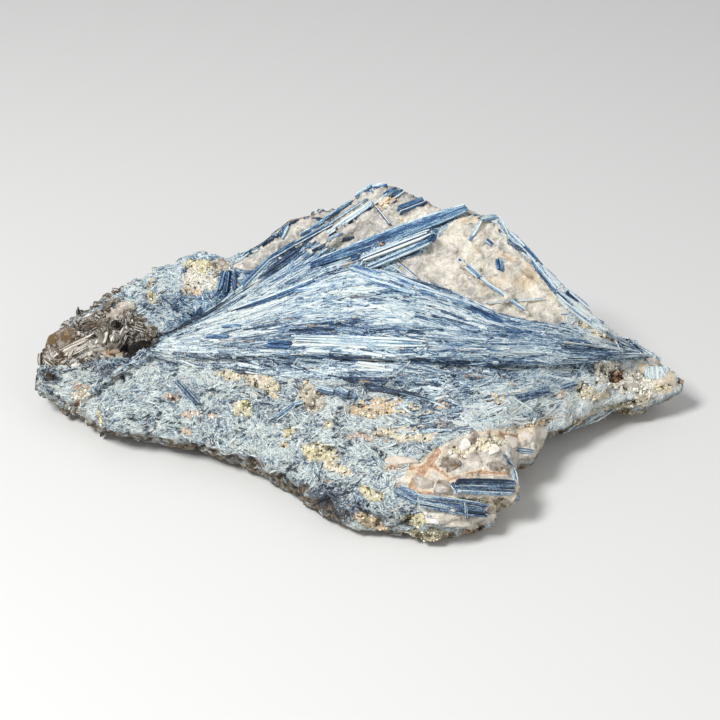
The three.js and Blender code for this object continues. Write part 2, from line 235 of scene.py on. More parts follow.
# Cracks cut into the face and painted near black inside as shade: the points of each, its half width and
# depth.
GROOVES = [
    ([(-43, 61), (-56, 52), (-62, 48), (-75, 42), (-87, 38)], 1.1, 3.4),
    ([(-12, 84), (-26, 77), (-37, 71), (-43, 66)], 0.5, 0.8),
    ([(-28, 53), (-41, 50.5), (-49, 47.5), (-61, 43)], 0.5, 0.8),
    ([(26, 28), (53, 26.8), (78, 27), (106, 29.5)], 0.5, 0.6),
    ([(53, 75), (57, 71.4), (62, 70)], 0.35, 0.5),
    ([(-115, 25.5), (-106, 29.5), (-96, 27.6), (-87, 30)], 0.5, 0.9),
    ([(-94, 33), (-89, 35), (-83, 38.5)], 1.2, 3.0),
    ([(-110, 18), (-110, 15), (-114, 11)], 0.8, 1.4),
    ([(-32, 9), (-27, 14.5), (-20, 22)], 0.6, 0.9),
    ([(-30, 6), (-24, 11), (-15, 13)], 0.5, 0.8),
    ([(-4, 21), (10, 21), (26, 16)], 0.5, 0.7),
    ([(46, 26), (62, 22), (80, 23)], 0.5, 0.8),
    ([(36, -20), (42, -21.5)], 0.9, 2.0),
    ([(58, 76), (64, 71), (69, 69.5)], 0.4, 0.6),
    ([(-98, 50), (-94, 43), (-95, 37)], 1.0, 2.0),
    ([(-81, 56), (-73, 49)], 0.4, 0.6),
]
# Crystals that stand out: one end, the other end, how far they stand up, and their strips from the upper edge
# down, as (width, tone) or (width, tone, tone at the far end). Tones run from 0, deep blue, over 0.4, sky
# blue, and 0.8, white, to 1, cream, and above 1, ochre.
BLADES = [
    # the long blades over the crest
    ((-20, 67.3), (42.3, 89.8), 1.6, [
        (0.7, 0.5, 0.66), (1.3, 0.1, 0.3), (0.35, -0.15, 0.2), (1.2, 0.18, 0.36), (0.4, 0.64, 0.5),
        (0.9, 0.22, 0.46),
    ]),
    ((0, 68.8), (27.3, 79.4), 1.5, [(0.6, 0.5), (0.9, 0.86), (0.35, 0.08), (0.9, 0.9)]),
    ((2, 65.6), (27.5, 76.4), 1.2, [(0.9, 0.55), (0.9, 0.34), (0.6, 0.6)]),
    ((25.6, 76.3), (28.8, 77.6), 1.6, [(1.2, 0.04), (1.2, 0.14)]),
    # A deep blue strip that paints the shadow under the blue blade from (2, 65.6).
    ((15, 69.6), (24, 73), 0.5, [(0.6, 0.0)]),
    ((-3.5, 69), (-0.2, 70.2), 1.4, [(1.0, 0.12), (0.8, 0.2)]),
    ((15, 68), (22, 62), 0.5, [(0.4, 0.1), (0.4, 0.66)]),
    ((12, 67), (18, 63), 0.5, [(0.6, 0.55)]),
    # on the left-hand quartz and up to the crest
    ((-13, 79.8), (5, 91.8), 1.0, [(1.0, 0.72), (0.9, 0.6), (0.5, 0.08)]),
    ((-13, 77), (-7, 80.5), 0.5, [(0.9, 0.4)]),
    ((6, 91), (12, 83), 0.4, [(0.3, 0.0), (0.35, 0.85), (0.3, 0.05)]),
    ((6, 92), (11.3, 96.3), 0.6, [(0.8, 0.62)]),
    ((7.6, 91.6), (11.4, 94.8), 0.5, [(0.5, 1.0), (0.6, 1.4), (0.4, 0.9), (0.6, 1.3)]),
    ((11.6, 92), (13.6, 93.6), 0.5, [(0.5, 1.3), (0.4, 0.9)]),
    ((9, 95), (14, 98), 0.7, [(1.2, 0.22), (0.8, 0.5)]),
    ((13, 94), (17.5, 97.2), 0.7, [(1.0, 0.2), (0.6, 0.6)]),
    ((15, 88.4), (25.6, 93), 1.0, [(1.0, 0.12), (1.0, 0.17), (0.35, 0.9), (0.6, 0.12)]),
    ((-2, 95), (5, 99.6), 0.6, [(0.8, 0.6), (0.6, 0.45)]),
    ((5, 98.6), (11, 99.8), 0.6, [(1.0, 0.55), (0.6, 0.35)]),
    ((-24, 80), (-14, 86), 0.5, [(0.6, 0.45), (0.5, 0.28)]),
    ((-16, 85), (-3, 93.5), 0.5, [(0.6, 0.5), (0.4, 0.22)]),
    # along the left-hand spray and its upper edge
    ((-48, 59.5), (-37, 71), 0.7, [(0.7, 0.3), (0.7, 0.12), (0.5, 0.5)]),
    ((-38, 70.5), (-25, 78), 0.6, [(0.7, 0.25), (0.6, 0.12), (0.5, 0.6)]),
    ((-26, 77), (-10, 85.5), 0.6, [(0.6, 0.4), (0.6, 0.14), (0.4, 0.6)]),
    ((-12, 84.5), (3, 93.8), 0.6, [(0.5, 0.3), (0.4, 0.6)]),
    ((-70, 42), (-48, 49.5), 0.6, [(0.6, 0.66), (0.9, 0.2)]),
    ((-50, 49), (-31, 55.5), 0.7, [(0.6, 0.7), (0.9, 0.12), (0.5, 0.3)]),
    ((-33, 54.8), (-18, 61), 0.7, [(0.8, 0.6), (1.0, 0.16), (0.5, 0.4)]),
    ((-31.5, 79), (-28.6, 84.6), 0.8, [(0.9, 0.16), (0.7, 0.5)]),
    ((-49, 75), (-43, 75.4), 0.6, [(0.9, 0.3), (0.8, 0.6)]),
    # along the upper edge of the spray
    ((-4, 66.3), (21, 57.8), 0.7, [(1.2, 0.36), (1.0, 0.55), (0.5, 0.85), (0.7, 0.3)]),
    ((8, 63.8), (31, 54.6), 0.7, [(1.0, 0.6), (1.2, 0.32), (0.5, 0.85)]),
    ((2, 61.6), (22, 55.2), 0.5, [(0.9, 0.7), (0.9, 0.4)]),
    ((22, 57), (44, 50.5), 0.6, [(0.8, 0.75), (1.0, 0.4), (0.7, 0.22)]),
    ((-26, 57), (-6, 60), 0.5, [(0.8, 0.7), (0.9, 0.44)]),
    # on the right-hand quartz and down the rim beside it
    ((43, 77.5), (47.2, 84.6), 0.7, [(0.6, 0.5), (0.6, 0.72)]),
    ((42.6, 76.6), (43.8, 78.6), 0.4, [(0.9, 0.24)]),
    ((49, 77.2), (51.2, 75.4), 0.1, [(1.0, 0.16), (0.7, 0.42)]),
    ((54, 69.6), (54.4, 64.6), 0.3, [(1.0, 0.3), (0.6, 0.1), (1.2, 0.22)]),
    ((46.5, 84.8), (53.4, 86.4), 0.6, [(1.2, 0.62), (0.8, 0.4)]),
    ((54, 86), (57.4, 78.4), 0.7, [(0.5, 0.7), (0.7, 0.35)]),
    ((57.4, 79.4), (64, 73), 0.7, [(0.7, 0.72), (0.6, 0.3), (0.7, 0.6)]),
    ((61, 76.6), (68.6, 68.2), 0.6, [(0.6, 0.4), (0.5, 0.1), (0.7, 0.7)]),
    ((66, 69.4), (75.6, 57), 0.6, [(0.6, 0.8), (0.6, 0.45), (0.9, 0.26)]),
    ((79.4, 56.6), (84.6, 53.4), 0.5, [(1.6, 0.12)]),
    ((75.6, 57), (82, 51.6), 0.5, [(0.7, 0.5), (0.6, 0.2), (0.7, 0.8)]),
    ((80, 52.6), (90, 45.4), 0.3, [(0.8, 0.84), (0.7, 0.45)]),
    ((80, 57.4), (89, 50.6), 0.4, [(0.8, 0.6), (0.6, 0.84)]),
    ((90, 47), (101, 39), 0.2, [(0.8, 0.84), (0.8, 0.55)]),
    ((38, 69.6), (46.4, 61.8), 0.3, [(0.7, 0.45), (0.8, 0.26), (0.4, 0.75)]),
    ((46, 62), (64, 49), 0.3, [(0.6, 0.66), (0.6, 0.34)]),
    ((48, 52), (72, 54), 0.4, [(0.5, 0.5), (0.4, 0.95)]),
    ((42, 50), (54, 44.4), 0.5, [(1.5, 0.1), (0.8, 0.3)]),
    ((54, 41.6), (66, 40), 0.4, [(1.0, 0.16)]),
    # in the spray
    ((-36, 36.2), (-26, 35.8), 0.4, [(1.5, 0.04), (1.2, 0.18)]),
    ((-60, 39), (-50, 39.2), 0.3, [(1.6, 0.22)]),
    ((-54, 43), (-46, 43.4), 0.3, [(1.2, 0.28)]),
    ((-26, 38.6), (25, 36.4), 0.9, [
        (0.9, 0.62, 0.7), (0.9, 0.72, 0.64), (0.4, 0.5, 0.6), (0.9, 0.66, 0.72),
    ]),
    ((-2, 29.2), (11, 27.4), 0.5, [(1.0, 0.8), (0.9, 0.9)]),
    # on the lower front
    ((-20, 33.4), (-11, 33), 0.4, [(1.0, 0.85)]),
    ((-70.4, 21.6), (-62, 12.8), 1.2, [(0.4, 0.3), (0.9, 0.0), (0.25, 0.4), (0.7, 0.06), (0.4, 0.5)]),
    ((1, 20.6), (9, 19.6), 1.0, [(1.1, -0.1)]),
    ((3, 19.6), (14.6, 18), 1.1, [(1.0, -0.15), (0.8, -0.05)]),
    ((12, 18.5), (26, 15), 0.9, [(0.5, -0.15), (0.4, 0.3)]),
    ((-32, 8), (-25, 13.4), 0.4, [(0.5, 0.5), (0.4, 0.2), (0.6, 0.54), (0.5, 0.12), (0.5, 0.44)]),
    ((-27, 12.8), (-21.6, 14.2), 0.3, [(0.6, 0.48), (0.5, 0.2), (0.6, 0.5)]),
    ((-16, 19.4), (-9, 18), 1.0, [(1.4, 0.42), (1.0, 0.2)]),
    ((-8.6, 18.6), (-4.4, 17), 1.1, [(1.6, 0.4), (1.2, 0.2)]),
    ((-3.4, 17.4), (-1, 15.6), 1.0, [(1.6, 0.24)]),
    # the striated ends at the lower right
    ((21.4, -20.2), (46.4, -24.6), 1.1, [
        (0.5, 0.7, 0.3), (0.8, 0.4, 0.1), (0.3, 0.84, 0.5), (0.8, 0.34, -0.1), (0.3, -0.3, 0.5),
        (0.9, 0.5, 0.1), (0.3, 0.8, -0.2), (0.8, 0.3, 0.0), (0.8, 0.46, 0.2),
    ]),
    ((37.8, -20.6), (38.2, -26.6), 1.5, [(0.3, 0.8), (0.25, 0.3), (0.3, 0.7)]),
    ((13.6, -16.8), (22, -20.6), 0.4, [(1.3, 0.3), (1.1, 0.1), (0.9, 0.42), (0.9, 0.2)]),
    ((34.2, -15.2), (56.4, -16.8), 1.0, [
        (0.5, -0.1), (0.8, -0.3, 0.1), (0.25, 0.3, 0.8), (0.9, -0.1, 0.3), (0.3, 0.8, 0.1),
        (0.6, 0.4, -0.2), (0.3, 0.0, 0.84), (0.8, 0.3, 0.1), (0.4, 0.8, 0.3), (1.0, 0.5, 0.3),
    ]),
    ((33.6, -14), (36.4, -17.8), 0.5, [(1.0, 0.3), (0.8, 0.16), (0.6, 0.5)]),
    ((53, -4.4), (56.6, -9), 0.3, [(0.6, 0.4), (0.5, 0.16)]),
    ((56.6, -9.6), (57.4, -16), 0.2, [(0.6, 0.5), (0.6, 0.2), (0.5, 0.6)]),
    # between the spray and the tip, and below the granular patch on the left
    ((59, 16), (73, 18.4), 0.5, [(1.2, 0.06), (1.0, 0.2)]),
    ((-57, 57.6), (-54.8, 66), 0.9, [(0.5, 0.3), (0.4, 0.05), (0.6, 0.4), (0.4, 0.12)]),
    ((-53.8, 57), (-52.6, 66.4), 1.0, [(0.4, 0.4), (0.5, 0.1), (0.5, 0.3), (0.3, -0.05)]),
    ((-50.8, 58), (-50.9, 65.6), 0.8, [(0.5, 0.1), (0.4, 0.42), (0.5, 0.16)]),
    ((-81, 56), (-73, 49), 0.3, [(0.35, 0.06)]),
    ((-68, 49), (-63.6, 49.2), 0.3, [(0.4, 0.08)]),
    ((77, 19.6), (84, 21.4), 0.2, [(0.6, 0.2), (0.5, 0.45), (0.6, 0.14)]),
    ((59, -3.6), (65, -4.4), 0.2, [(0.4, 0.1), (0.5, 0.5), (0.4, 0.05), (0.4, 0.45)]),
    ((117.6, 28), (117.8, 22.4), 0.2, [
        (1.0, 0.6), (0.9, 0.7), (1.1, 0.62), (0.8, 0.74), (1.2, 0.64), (1.0, 0.72), (0.9, 0.56),
        (1.1, 0.7), (0.8, 0.62),
    ]),
]
# Sheets of mica seen edge on, given as the blades are. Tones run from 0, black-brown, to 1, silver.
SHARDS = [
    ((-121, 33.2), (-114, 37), 0.7, [(0.4, 0.9), (0.3, 0.2), (0.5, 1.0)]),
    ((-118.6, 35.4), (-110, 39.4), 0.7, [(0.4, 1.0), (0.3, 0.2), (0.5, 0.9), (0.3, 0.3), (0.4, 0.8)]),
    ((-114, 37), (-107.5, 40.6), 0.6, [(0.4, 0.9), (0.3, 0.15), (0.4, 0.8)]),
    ((-117, 32.6), (-109.6, 36.2), 0.5, [(0.4, 0.85), (0.3, 0.4), (0.4, 0.95)]),
    ((-104, 41), (-104.7, 36.4), 1.8, [(1.1, 0.6), (0.4, 0.95)]),
    ((-101.6, 40.6), (-102.2, 36.4), 0.3, [(1.0, 0.0)]),
    ((-98.8, 41.6), (-99.8, 37), 1.2, [(0.8, 0.8), (0.6, 0.45)]),
    ((-95.4, 43), (-96.8, 39.4), 1.0, [(0.7, 0.7)]),
    ((-112, 42), (-105.4, 45.4), 0.5, [(0.4, 0.5), (0.4, 0.12), (0.4, 0.6)]),
    ((-109, 41.6), (-104.6, 44), 0.4, [(0.4, 0.1), (0.4, 0.4)]),
    ((-93, 43.6), (-85, 41), 0.4, [(0.3, 0.6), (0.3, 0.2), (0.3, 0.6)]),
    ((-101, 33), (-94, 32.4), 0.4, [(0.4, 0.5), (0.3, 0.2)]),
    ((-108, 34), (-102, 34.6), 0.4, [(0.4, 0.7), (0.4, 0.4)]),
    ((-129.4, 33), (-129, 28), 0.5, [(0.4, 0.1), (0.4, 0.9), (0.3, 0.2)]),
    ((-127, 30), (-123, 27.4), 0.4, [(0.4, 0.85), (0.4, 0.2)]),
    ((-126.6, 24.6), (-123.6, 23), 0.3, [(1.0, 0.05), (0.8, 0.12)]),
    ((-113, 46.6), (-108, 49), 0.2, [(0.5, 0.7), (0.5, 0.85)]),
]
# Lumps of clear quartz: (x, t, half length, half height, turn, tone from 0, white, over grey to 1, brown).
LUMPS = [
    (30, -8.4, 5.2, 3.4, 0, 0.9), (41.8, -6, 3, 3.2, 0, 0.6), (49.5, -9, 4.4, 2.6, 5, 0.8),
    (24, -15, 5, 3, -10, 0.7), (31, -16, 4.4, 2.4, -8, 0.8), (15.5, -6.4, 5, 2, 5, 0.4),
    (42.5, 1.2, 2.2, 2.4, 0, 0.8), (38, -1, 2.4, 2.2, 0, 0.0), (33, -3, 1.4, 1.4, 0, 0.1),
    (39, -5.4, 1.6, 1.3, 0, 0.0), (56, 0, 3.4, 2.2, 10, 0.3), (62, 1, 4, 2, 5, 0.3),
    (-101.6, 49, 6.6, 3.6, 25, 0.7), (-96.4, 51.6, 4.6, 2.4, 10, 0.6), (-119.6, 30.4, 2, 1.4, 0, 0.7),
    (-114.6, 28.6, 2.8, 1.8, 0, 0.6), (-109, 33, 2.2, 1.2, 20, 0.5), (-119.6, 28, 2.2, 1.9, 0, 0.98),
    (-121.4, 37, 6.2, 4.2, 30, 1.0), (115.4, 31, 4, 1.3, -16, 0.7), (125, 26, 2.6, 1.2, -40, 0.6),
    (107.6, 20.4, 2.6, 1.6, 0, 0.6), (-97, 48.8, 4, 1.8, -20, 0.6), (33, -29, 6, 1.8, -6, 0.35),
    (26, -28, 3, 1.6, 0, 0.2), (-56, 69.5, 2.6, 2.4, 0, 0.9), (-1, 28.4, 1.6, 0.9, 0, 0.0),
    (48, -3, 3, 1.8, 10, 0.2),
]

# ---- settings ------------------------------------------------------------------------------------


def linear(rgb):
    """The linear colour of an 0 to 255 screen colour."""
    return tuple(((c / 255 + 0.055) / 1.055) ** 2.4 if c > 10 else c / 255 / 12.92 for c in rgb)


def colour_setting(name, description, rgb):
    """A colour that a user may change, given as a 0 to 255 screen colour."""
    return bpy.props.FloatVectorProperty(
        name=name, description=description, subtype="COLOR", size=3, min=0.0, max=1.0, default=linear(rgb)
    )


def count_setting(name, description, count):
    """A number of like things that a user may change."""
    return bpy.props.IntProperty(name=name, description=description, default=count, min=0)


def lamp_setting(name, description, power):
    """The power of a lamp, in watts."""
    return bpy.props.FloatProperty(name=name, description=description, default=power, min=0.0, unit="POWER")


class RockSettings(bpy.types.PropertyGroup):
    voxel: bpy.props.FloatProperty(
        name="Mesh size", description="Edge length of the rock's mesh", default=1.08 * MM, min=0.4 * MM,
        unit="LENGTH",
    )
    seed: bpy.props.IntProperty(name="Seed", description="Which of the like rocks is made", default=7)
    quartz: colour_setting("Quartz", "Clean vein quartz", (219, 211, 196))
    quartz_grey: colour_setting("Grey quartz", "The clearer, darker parts of the quartz", (168, 163, 156))
    iron: colour_setting("Iron stain", "Iron stain in cracks", (158, 116, 90))
    mica: colour_setting("Mica", "Silver mica", (160, 156, 148))
    mica_brown: colour_setting("Brown mica", "Weathered mica", (104, 88, 70))
    grain_count: count_setting("Sugary grains", "Grains set on the granular patches", 4200)
    brown_count: count_setting("Brown crystals", "Crystals lining the hole near the tip", 70)
    book_count: count_setting("Mica books", "Stacks of mica sheets", 95)


class KyaniteSettings(bpy.types.PropertyGroup):
    deep: colour_setting("Deep blue", "The darkest of the blades", (18, 42, 68))
    blue: colour_setting("Blue", "Clear blue blades", (52, 96, 148))
    sky: colour_setting("Sky blue", "Most of the fibres", (118, 156, 184))
    pale: colour_setting("Pale blue", "Bleached fibres", (182, 208, 218))
    white: colour_setting("White", "Silky white fibres", (229, 236, 237))
    cream: colour_setting("Cream", "Fibres stained a little", (226, 208, 176))
    spray_count: count_setting("Spray blades", "Blades laid in the spray", 4300)
    needle_count: count_setting("Needles", "Needles in the matted front", 16000)
    back_count: count_setting("Back blades", "Blades on the back", 2600)


class StageSettings(bpy.types.PropertyGroup):
    key: lamp_setting("Key lamp", "Power of the key lamp", 11.8)
    fill: lamp_setting("Fill lamp", "Power of the fill lamp", 2.0)
    sky: bpy.props.FloatProperty(
        name="Sky", description="Strength of the light from all round", default=0.38, min=0.0
    )
    floor: colour_setting("Floor", "The plain floor", (226, 226, 224))
    distance: bpy.props.FloatProperty(
        name="Camera distance", description="From the camera to the middle of the rock", default=660 * MM,
        unit="LENGTH",
    )


# ---- noise and fields ----------------------------------------------------------------------------


def hashed(cells, seed):
    """One repeatable number from -1 to 1 for each whole-number cell.

    The large numbers are the usual multipliers of an integer hash.
    """
    c = cells.astype(np.int64).astype(np.uint32)
    h = c[..., 0] * np.uint32(374761393) + c[..., 1] * np.uint32(668265263)
    h = h + c[..., 2] * np.uint32(2246822519) + np.uint32((seed * 3266489917) % 2**32)
    h = (h ^ (h >> np.uint32(15))) * np.uint32(2246822519)
    h = (h ^ (h >> np.uint32(13))) * np.uint32(3266489917)
    h = h ^ (h >> np.uint32(16))
    return h.astype(float) / 2**31 - 1


def noise(points, size, octaves=3, seed=0):
    """Smooth noise from about -1 to 1, with finer and fainter layers added."""
    total = np.zeros(len(points))
    for k in range(octaves):
        p = points / size * 2**k + 17.3 * k
        cell = np.floor(p)
        part = p - cell
        part = part * part * (3 - 2 * part)
        for corner in itertools.product((0, 1), repeat=3):
            share = np.where(corner, part, 1 - part).prod(axis=1)
            total += 0.5**k * share * hashed(cell + corner, seed + k)
    return total


def smooth(low, high, values):
    """A soft step from 0 at low to 1 at high. It falls instead where low is the greater."""
    t = np.clip((values - low) / (high - low), 0, 1)
    return t * t * (3 - 2 * t)


def face_of(points):
    """The place of points on the face, as x and t."""
    return np.stack([points[:, 0], points @ UP], axis=1)


def inside_by(places, outline):
    """How far places are inside an outline on the face, and below 0 outside it."""
    near = np.full(len(places), 1e9)
    odd = np.zeros(len(places), bool)
    for a, b in zip(outline, outline[1:] + outline[:1]):
        a, b = np.array(a, float), np.array(b, float)
        near = np.minimum(near, distance_to(places, a, b))
        crosses = (a[1] > places[:, 1]) != (b[1] > places[:, 1])
        rise = b[1] - a[1] or 1e-9
        odd ^= crosses & (places[:, 0] < a[0] + (b[0] - a[0]) * (places[:, 1] - a[1]) / rise)
    return np.where(odd, near, -near)


def distance_to(places, a, b):
    """Distance from places to the line from a to b."""
    a, b = np.asarray(a, float), np.asarray(b, float)
    along = b - a
    t = np.clip((places - a) @ along / (along @ along), 0, 1)
    return np.linalg.norm(places - a - t[:, None] * along, axis=1)


def blob_field(places, x, t, half_length, half_height, turn):
    """About how far places are inside an ellipse on the face, and below 0 outside it."""
    c, s = math.cos(math.radians(turn)), math.sin(math.radians(turn))
    dx, dt = places[:, 0] - x, places[:, 1] - t
    r = np.hypot((dx * c + dt * s) / half_length, (dt * c - dx * s) / half_height)
    return (1 - r) * min(half_length, half_height)


def line_at(line, x):
    """t of a line at x."""
    pts = sorted(line)
    return np.interp(x, [p[0] for p in pts], [p[1] for p in pts])


def between(lines, places):
    """Where places lie across a set of lines: 0 on the first, 1 on the second, and so on, and beyond."""
    heights = np.stack([line_at(line, places[:, 0]) for line in lines])
    t = places[:, 1]
    gaps = np.diff(heights, axis=0)
    gaps = np.where(np.abs(gaps) < 0.3, np.where(gaps < 0, -0.3, 0.3), gaps)
    steps = np.clip((t - heights[:-1]) / gaps, 0, 1)
    across = steps.sum(axis=0)
    wide = 8.0  # beyond the lines, the millimetres that count as one line more
    down = heights[0] > heights[-1]
    before = np.where(down, t - heights[0], heights[0] - t)
    after = np.where(down, heights[-1] - t, t - heights[-1])
    return across + np.maximum(after, 0) / wide - np.maximum(before, 0) / wide


def facets(points, size, tilt, seed):
    """Offsets of a surface broken along flat faces about size across, each tipped by up to tilt."""
    rng = np.random.default_rng(seed)
    low, high = points.min(0) - size, points.max(0) + size
    count = [max(2, int(n)) for n in np.ceil((high - low) / size)]
    grid = np.stack(np.meshgrid(*[np.arange(n) for n in count], indexing="ij"), -1).reshape(-1, 3)
    seeds = low + (grid + rng.uniform(0.05, 0.95, grid.shape)) * size
    tips = rng.normal(size=seeds.shape)
    tips *= tilt / np.linalg.norm(tips, axis=1, keepdims=True)
    shifts = rng.uniform(-0.5, 0.5, len(seeds)) * tilt * size * 0.5
    tree = KDTree(len(seeds))
    for i, s in enumerate(seeds):
        tree.insert(s, i)
    tree.balance()
    nearest = np.array([tree.find(p)[1] for p in points])
    return ((points - seeds[nearest]) * tips[nearest]).sum(axis=1) + shifts[nearest]


# ---- meshes --------------------------------------------------------------------------------------


def clear_selection():
    """Deselects everything, so that an operator acts only on what is picked next."""
    bpy.ops.object.select_all(action="DESELECT")


def only(piece):
    """Makes a piece the one that is selected and active."""
    clear_selection()
    piece.select_set(True)
    bpy.context.view_layer.objects.active = piece


def new_object(name, mesh):
    """An object for a mesh, added to the scene at the origin."""
    piece = bpy.data.objects.new(name, mesh)
    bpy.context.scene.collection.objects.link(piece)
    return piece


def put(mesh, name, values, kind="FLOAT"):
    """Stores a value at each point of a mesh."""
    values = np.asarray(values, np.float32)
    attribute = mesh.attributes.get(name) or mesh.attributes.new(name, kind, "POINT")
    field = {"FLOAT": "value", "FLOAT_VECTOR": "vector", "FLOAT_COLOR": "color"}[kind]
    if kind == "FLOAT_COLOR":
        values = np.concatenate([values, np.ones((len(values), 1), np.float32)], axis=1)
    attribute.data.foreach_set(field, values.ravel())


def points_of(mesh):
    """A mesh's points in millimetres."""
    co = np.zeros(len(mesh.vertices) * 3, np.float32)
    mesh.vertices.foreach_get("co", co)
    return co.reshape(-1, 3).astype(float) / MM


def set_points(mesh, points):
    """Moves a mesh's points to places given in millimetres."""
    mesh.vertices.foreach_set("co", (points * MM).astype(np.float32).ravel())
    mesh.update()


def normals_of(mesh):
    """The normal at each point of a mesh."""
    n = np.zeros(len(mesh.vertices) * 3, np.float32)
    mesh.vertex_normals.foreach_get("vector", n)
    return n.reshape(-1, 3).astype(float)


def unit(v):
    """Vectors made one long."""
    return v / np.maximum(np.linalg.norm(v, axis=-1, keepdims=True), 1e-9)


def boxed(points, floor=0.1):
    """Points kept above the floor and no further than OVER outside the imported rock's box."""
    low, high = np.array(CAD_BOX) / MM
    return np.clip(points, low + (-OVER, -OVER, floor), high + OVER)


def finish_piece(piece, material):
    """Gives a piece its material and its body."""
    piece.data.materials.clear()
    piece.data.materials.append(material)
    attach(piece, "root")


# ---- crystals laid as bars -----------------------------------------------------------------------

# The corners of a bar's section: across, in halves of its width, and up, in thicknesses.
BAR = [(-1.0, -0.6), (1.0, -0.6), (0.86, 0.5), (-0.86, 0.5)]


def bars(
    name, routes, normals, widths, thicks, tones, stains, faded, roll=None, taper=0.55, streaks=1.0, seed=1
):
    """One mesh of many bars.

    routes and normals are count x stations x 3. The rest have one value for each bar, and widths and tones
    may have one for each station.
    """
    rng = np.random.default_rng(seed)
    count, stations, _ = routes.shape
    widths, tones = [v if v.ndim == 2 else np.repeat(v[:, None], stations, axis=1) for v in (widths, tones)]
    along = unit(np.gradient(routes, axis=1))
    side = unit(np.cross(along, normals))
    rise = unit(np.cross(side, along))
    if roll is not None:
        c, s = np.cos(roll)[:, None, None], np.sin(roll)[:, None, None]
        side, rise = side * c + rise * s, rise * c - side * s
    position = np.linspace(0, 1, stations)
    ends = rng.uniform(taper, 1.0, (count, 2))
    shape = np.minimum(
        ends[:, :1] + (1 - ends[:, :1]) * np.minimum(position * 3, 1),
        ends[:, 1:] + (1 - ends[:, 1:]) * np.minimum((1 - position) * 3, 1),
    )
    wide = (widths / 2 * shape)[..., None, None]
    thick = (thicks[:, None] * (0.5 + 0.5 * shape))[..., None, None]
    corners = np.array(BAR)
    corner_a, corner_b = corners[:, 0][None, None, :, None], corners[:, 1][None, None, :, None]
    points = routes[:, :, None] + side[:, :, None] * corner_a * wide + rise[:, :, None] * corner_b * thick
    k = len(corners)
    base = (np.arange(count) * stations * k)[:, None, None, None]
    row = (np.arange(stations - 1) * k)[None, :, None, None]
    col = np.arange(k)
    quad = np.stack([col, (col + 1) % k, (col + 1) % k + k, col + k], -1)[None, None]
    quads = (base + row + quad).reshape(-1, 4)
    first = (base[:, 0, 0] + col[::-1][None]).reshape(-1, k)
    last = (base[:, 0, 0] + (stations - 1) * k + col[None]).reshape(-1, k)
    mesh = bpy.data.meshes.new(name)
    mesh.from_pydata(boxed(points.reshape(-1, 3)) * MM, [], quads.tolist() + first.tolist() + last.tolist())
    travelled = np.concatenate(
        [np.zeros((count, 1)), np.cumsum(np.linalg.norm(np.diff(routes, axis=1), axis=2), axis=1)], axis=1
    )
    grain = np.zeros((count, stations, k, 3))
    grain[..., 0] = travelled[..., None] + rng.uniform(0, 400, count)[:, None, None]
    grain[..., 1] = (corner_a * wide)[..., 0] + rng.uniform(0, 400, count)[:, None, None]
    grain[..., 2] = (corner_b * thick)[..., 0] + rng.uniform(0, 400, count)[:, None, None]
    put(mesh, "grain", grain.reshape(-1, 3), "FLOAT_VECTOR")
    put(mesh, "tone", np.repeat(tones, k))
    put(mesh, "streaks", np.full(len(mesh.vertices), streaks))
    put(mesh, "stain", np.repeat(stains, stations * k))
    put(mesh, "faded", np.repeat(np.broadcast_to(faded, count), stations * k))
    piece = new_object(name, mesh)
    only(piece)
    bpy.ops.object.mode_set(mode="EDIT")
    bpy.ops.mesh.select_all(action="SELECT")
    bpy.ops.mesh.normals_make_consistent(inside=False)
    bpy.ops.object.mode_set(mode="OBJECT")
    return piece


class Ground:
    """The finished surface of the rock, for laying crystals on."""

    def __init__(self, mesh):
        self.points = points_of(mesh)
        polygons = [tuple(p.vertices) for p in mesh.polygons]
        self.tree = BVHTree.FromPolygons([Vector(p) for p in self.points], polygons)
        # A triangle is kept as a quad whose last corner is there twice.
        self.quads = np.array([p if len(p) == 4 else (*p, p[-1]) for p in polygons if len(p) < 5])
        corners = self.points[self.quads]
        cross = np.cross(corners[:, 2] - corners[:, 0], corners[:, 3] - corners[:, 1])
        cross = np.where(
            np.linalg.norm(cross, axis=1, keepdims=True) < 1e-9,
            np.cross(corners[:, 1] - corners[:, 0], corners[:, 2] - corners[:, 0]), cross,
        )
        self.areas = np.linalg.norm(cross, axis=1) / 2
        self.centres = corners.mean(axis=1)
        vertex_normals = normals_of(mesh)
        self.normals = unit(vertex_normals[self.quads].mean(axis=1))
        self.fields = {}

    def keep(self, name, values):
        """Keeps the mean of a field over each face."""
        self.fields[name] = values[self.quads].mean(axis=1)

    def drop(self, places):
        """Points and normals of the surface under places on the face, and how deep each is."""
        flat = places.reshape(-1, 2)
        points = np.zeros((len(flat), 3))
        normals = np.zeros((len(flat), 3))
        depths = np.full(len(flat), np.nan)
        inwards = Vector(-OUT)
        far = 300
        for i, (x, t) in enumerate(flat):
            start = ALONG * x + UP * t + OUT * far
            hit, normal, _, distance = self.tree.ray_cast(Vector(start), inwards)
            if hit is not None:
                points[i], normals[i], depths[i] = hit, normal, distance
        shape = places.shape[:-1]
        return points.reshape(*shape, 3), normals.reshape(*shape, 3), depths.reshape(shape)

    def settle(self, points):
        """The nearest places on the surface."""
        flat = points.reshape(-1, 3)
        near = np.array([self.tree.find_nearest(Vector(p))[0] for p in flat])
        return near.reshape(points.shape)


made = {}  # what one operator leaves for the next: the ground, and the materials already made


def shared(maker):
    """A material made once and used by many pieces."""
    if maker.__name__ not in made:
        made[maker.__name__] = maker()
    return made[maker.__name__]


# ---- materials -----------------------------------------------------------------------------------


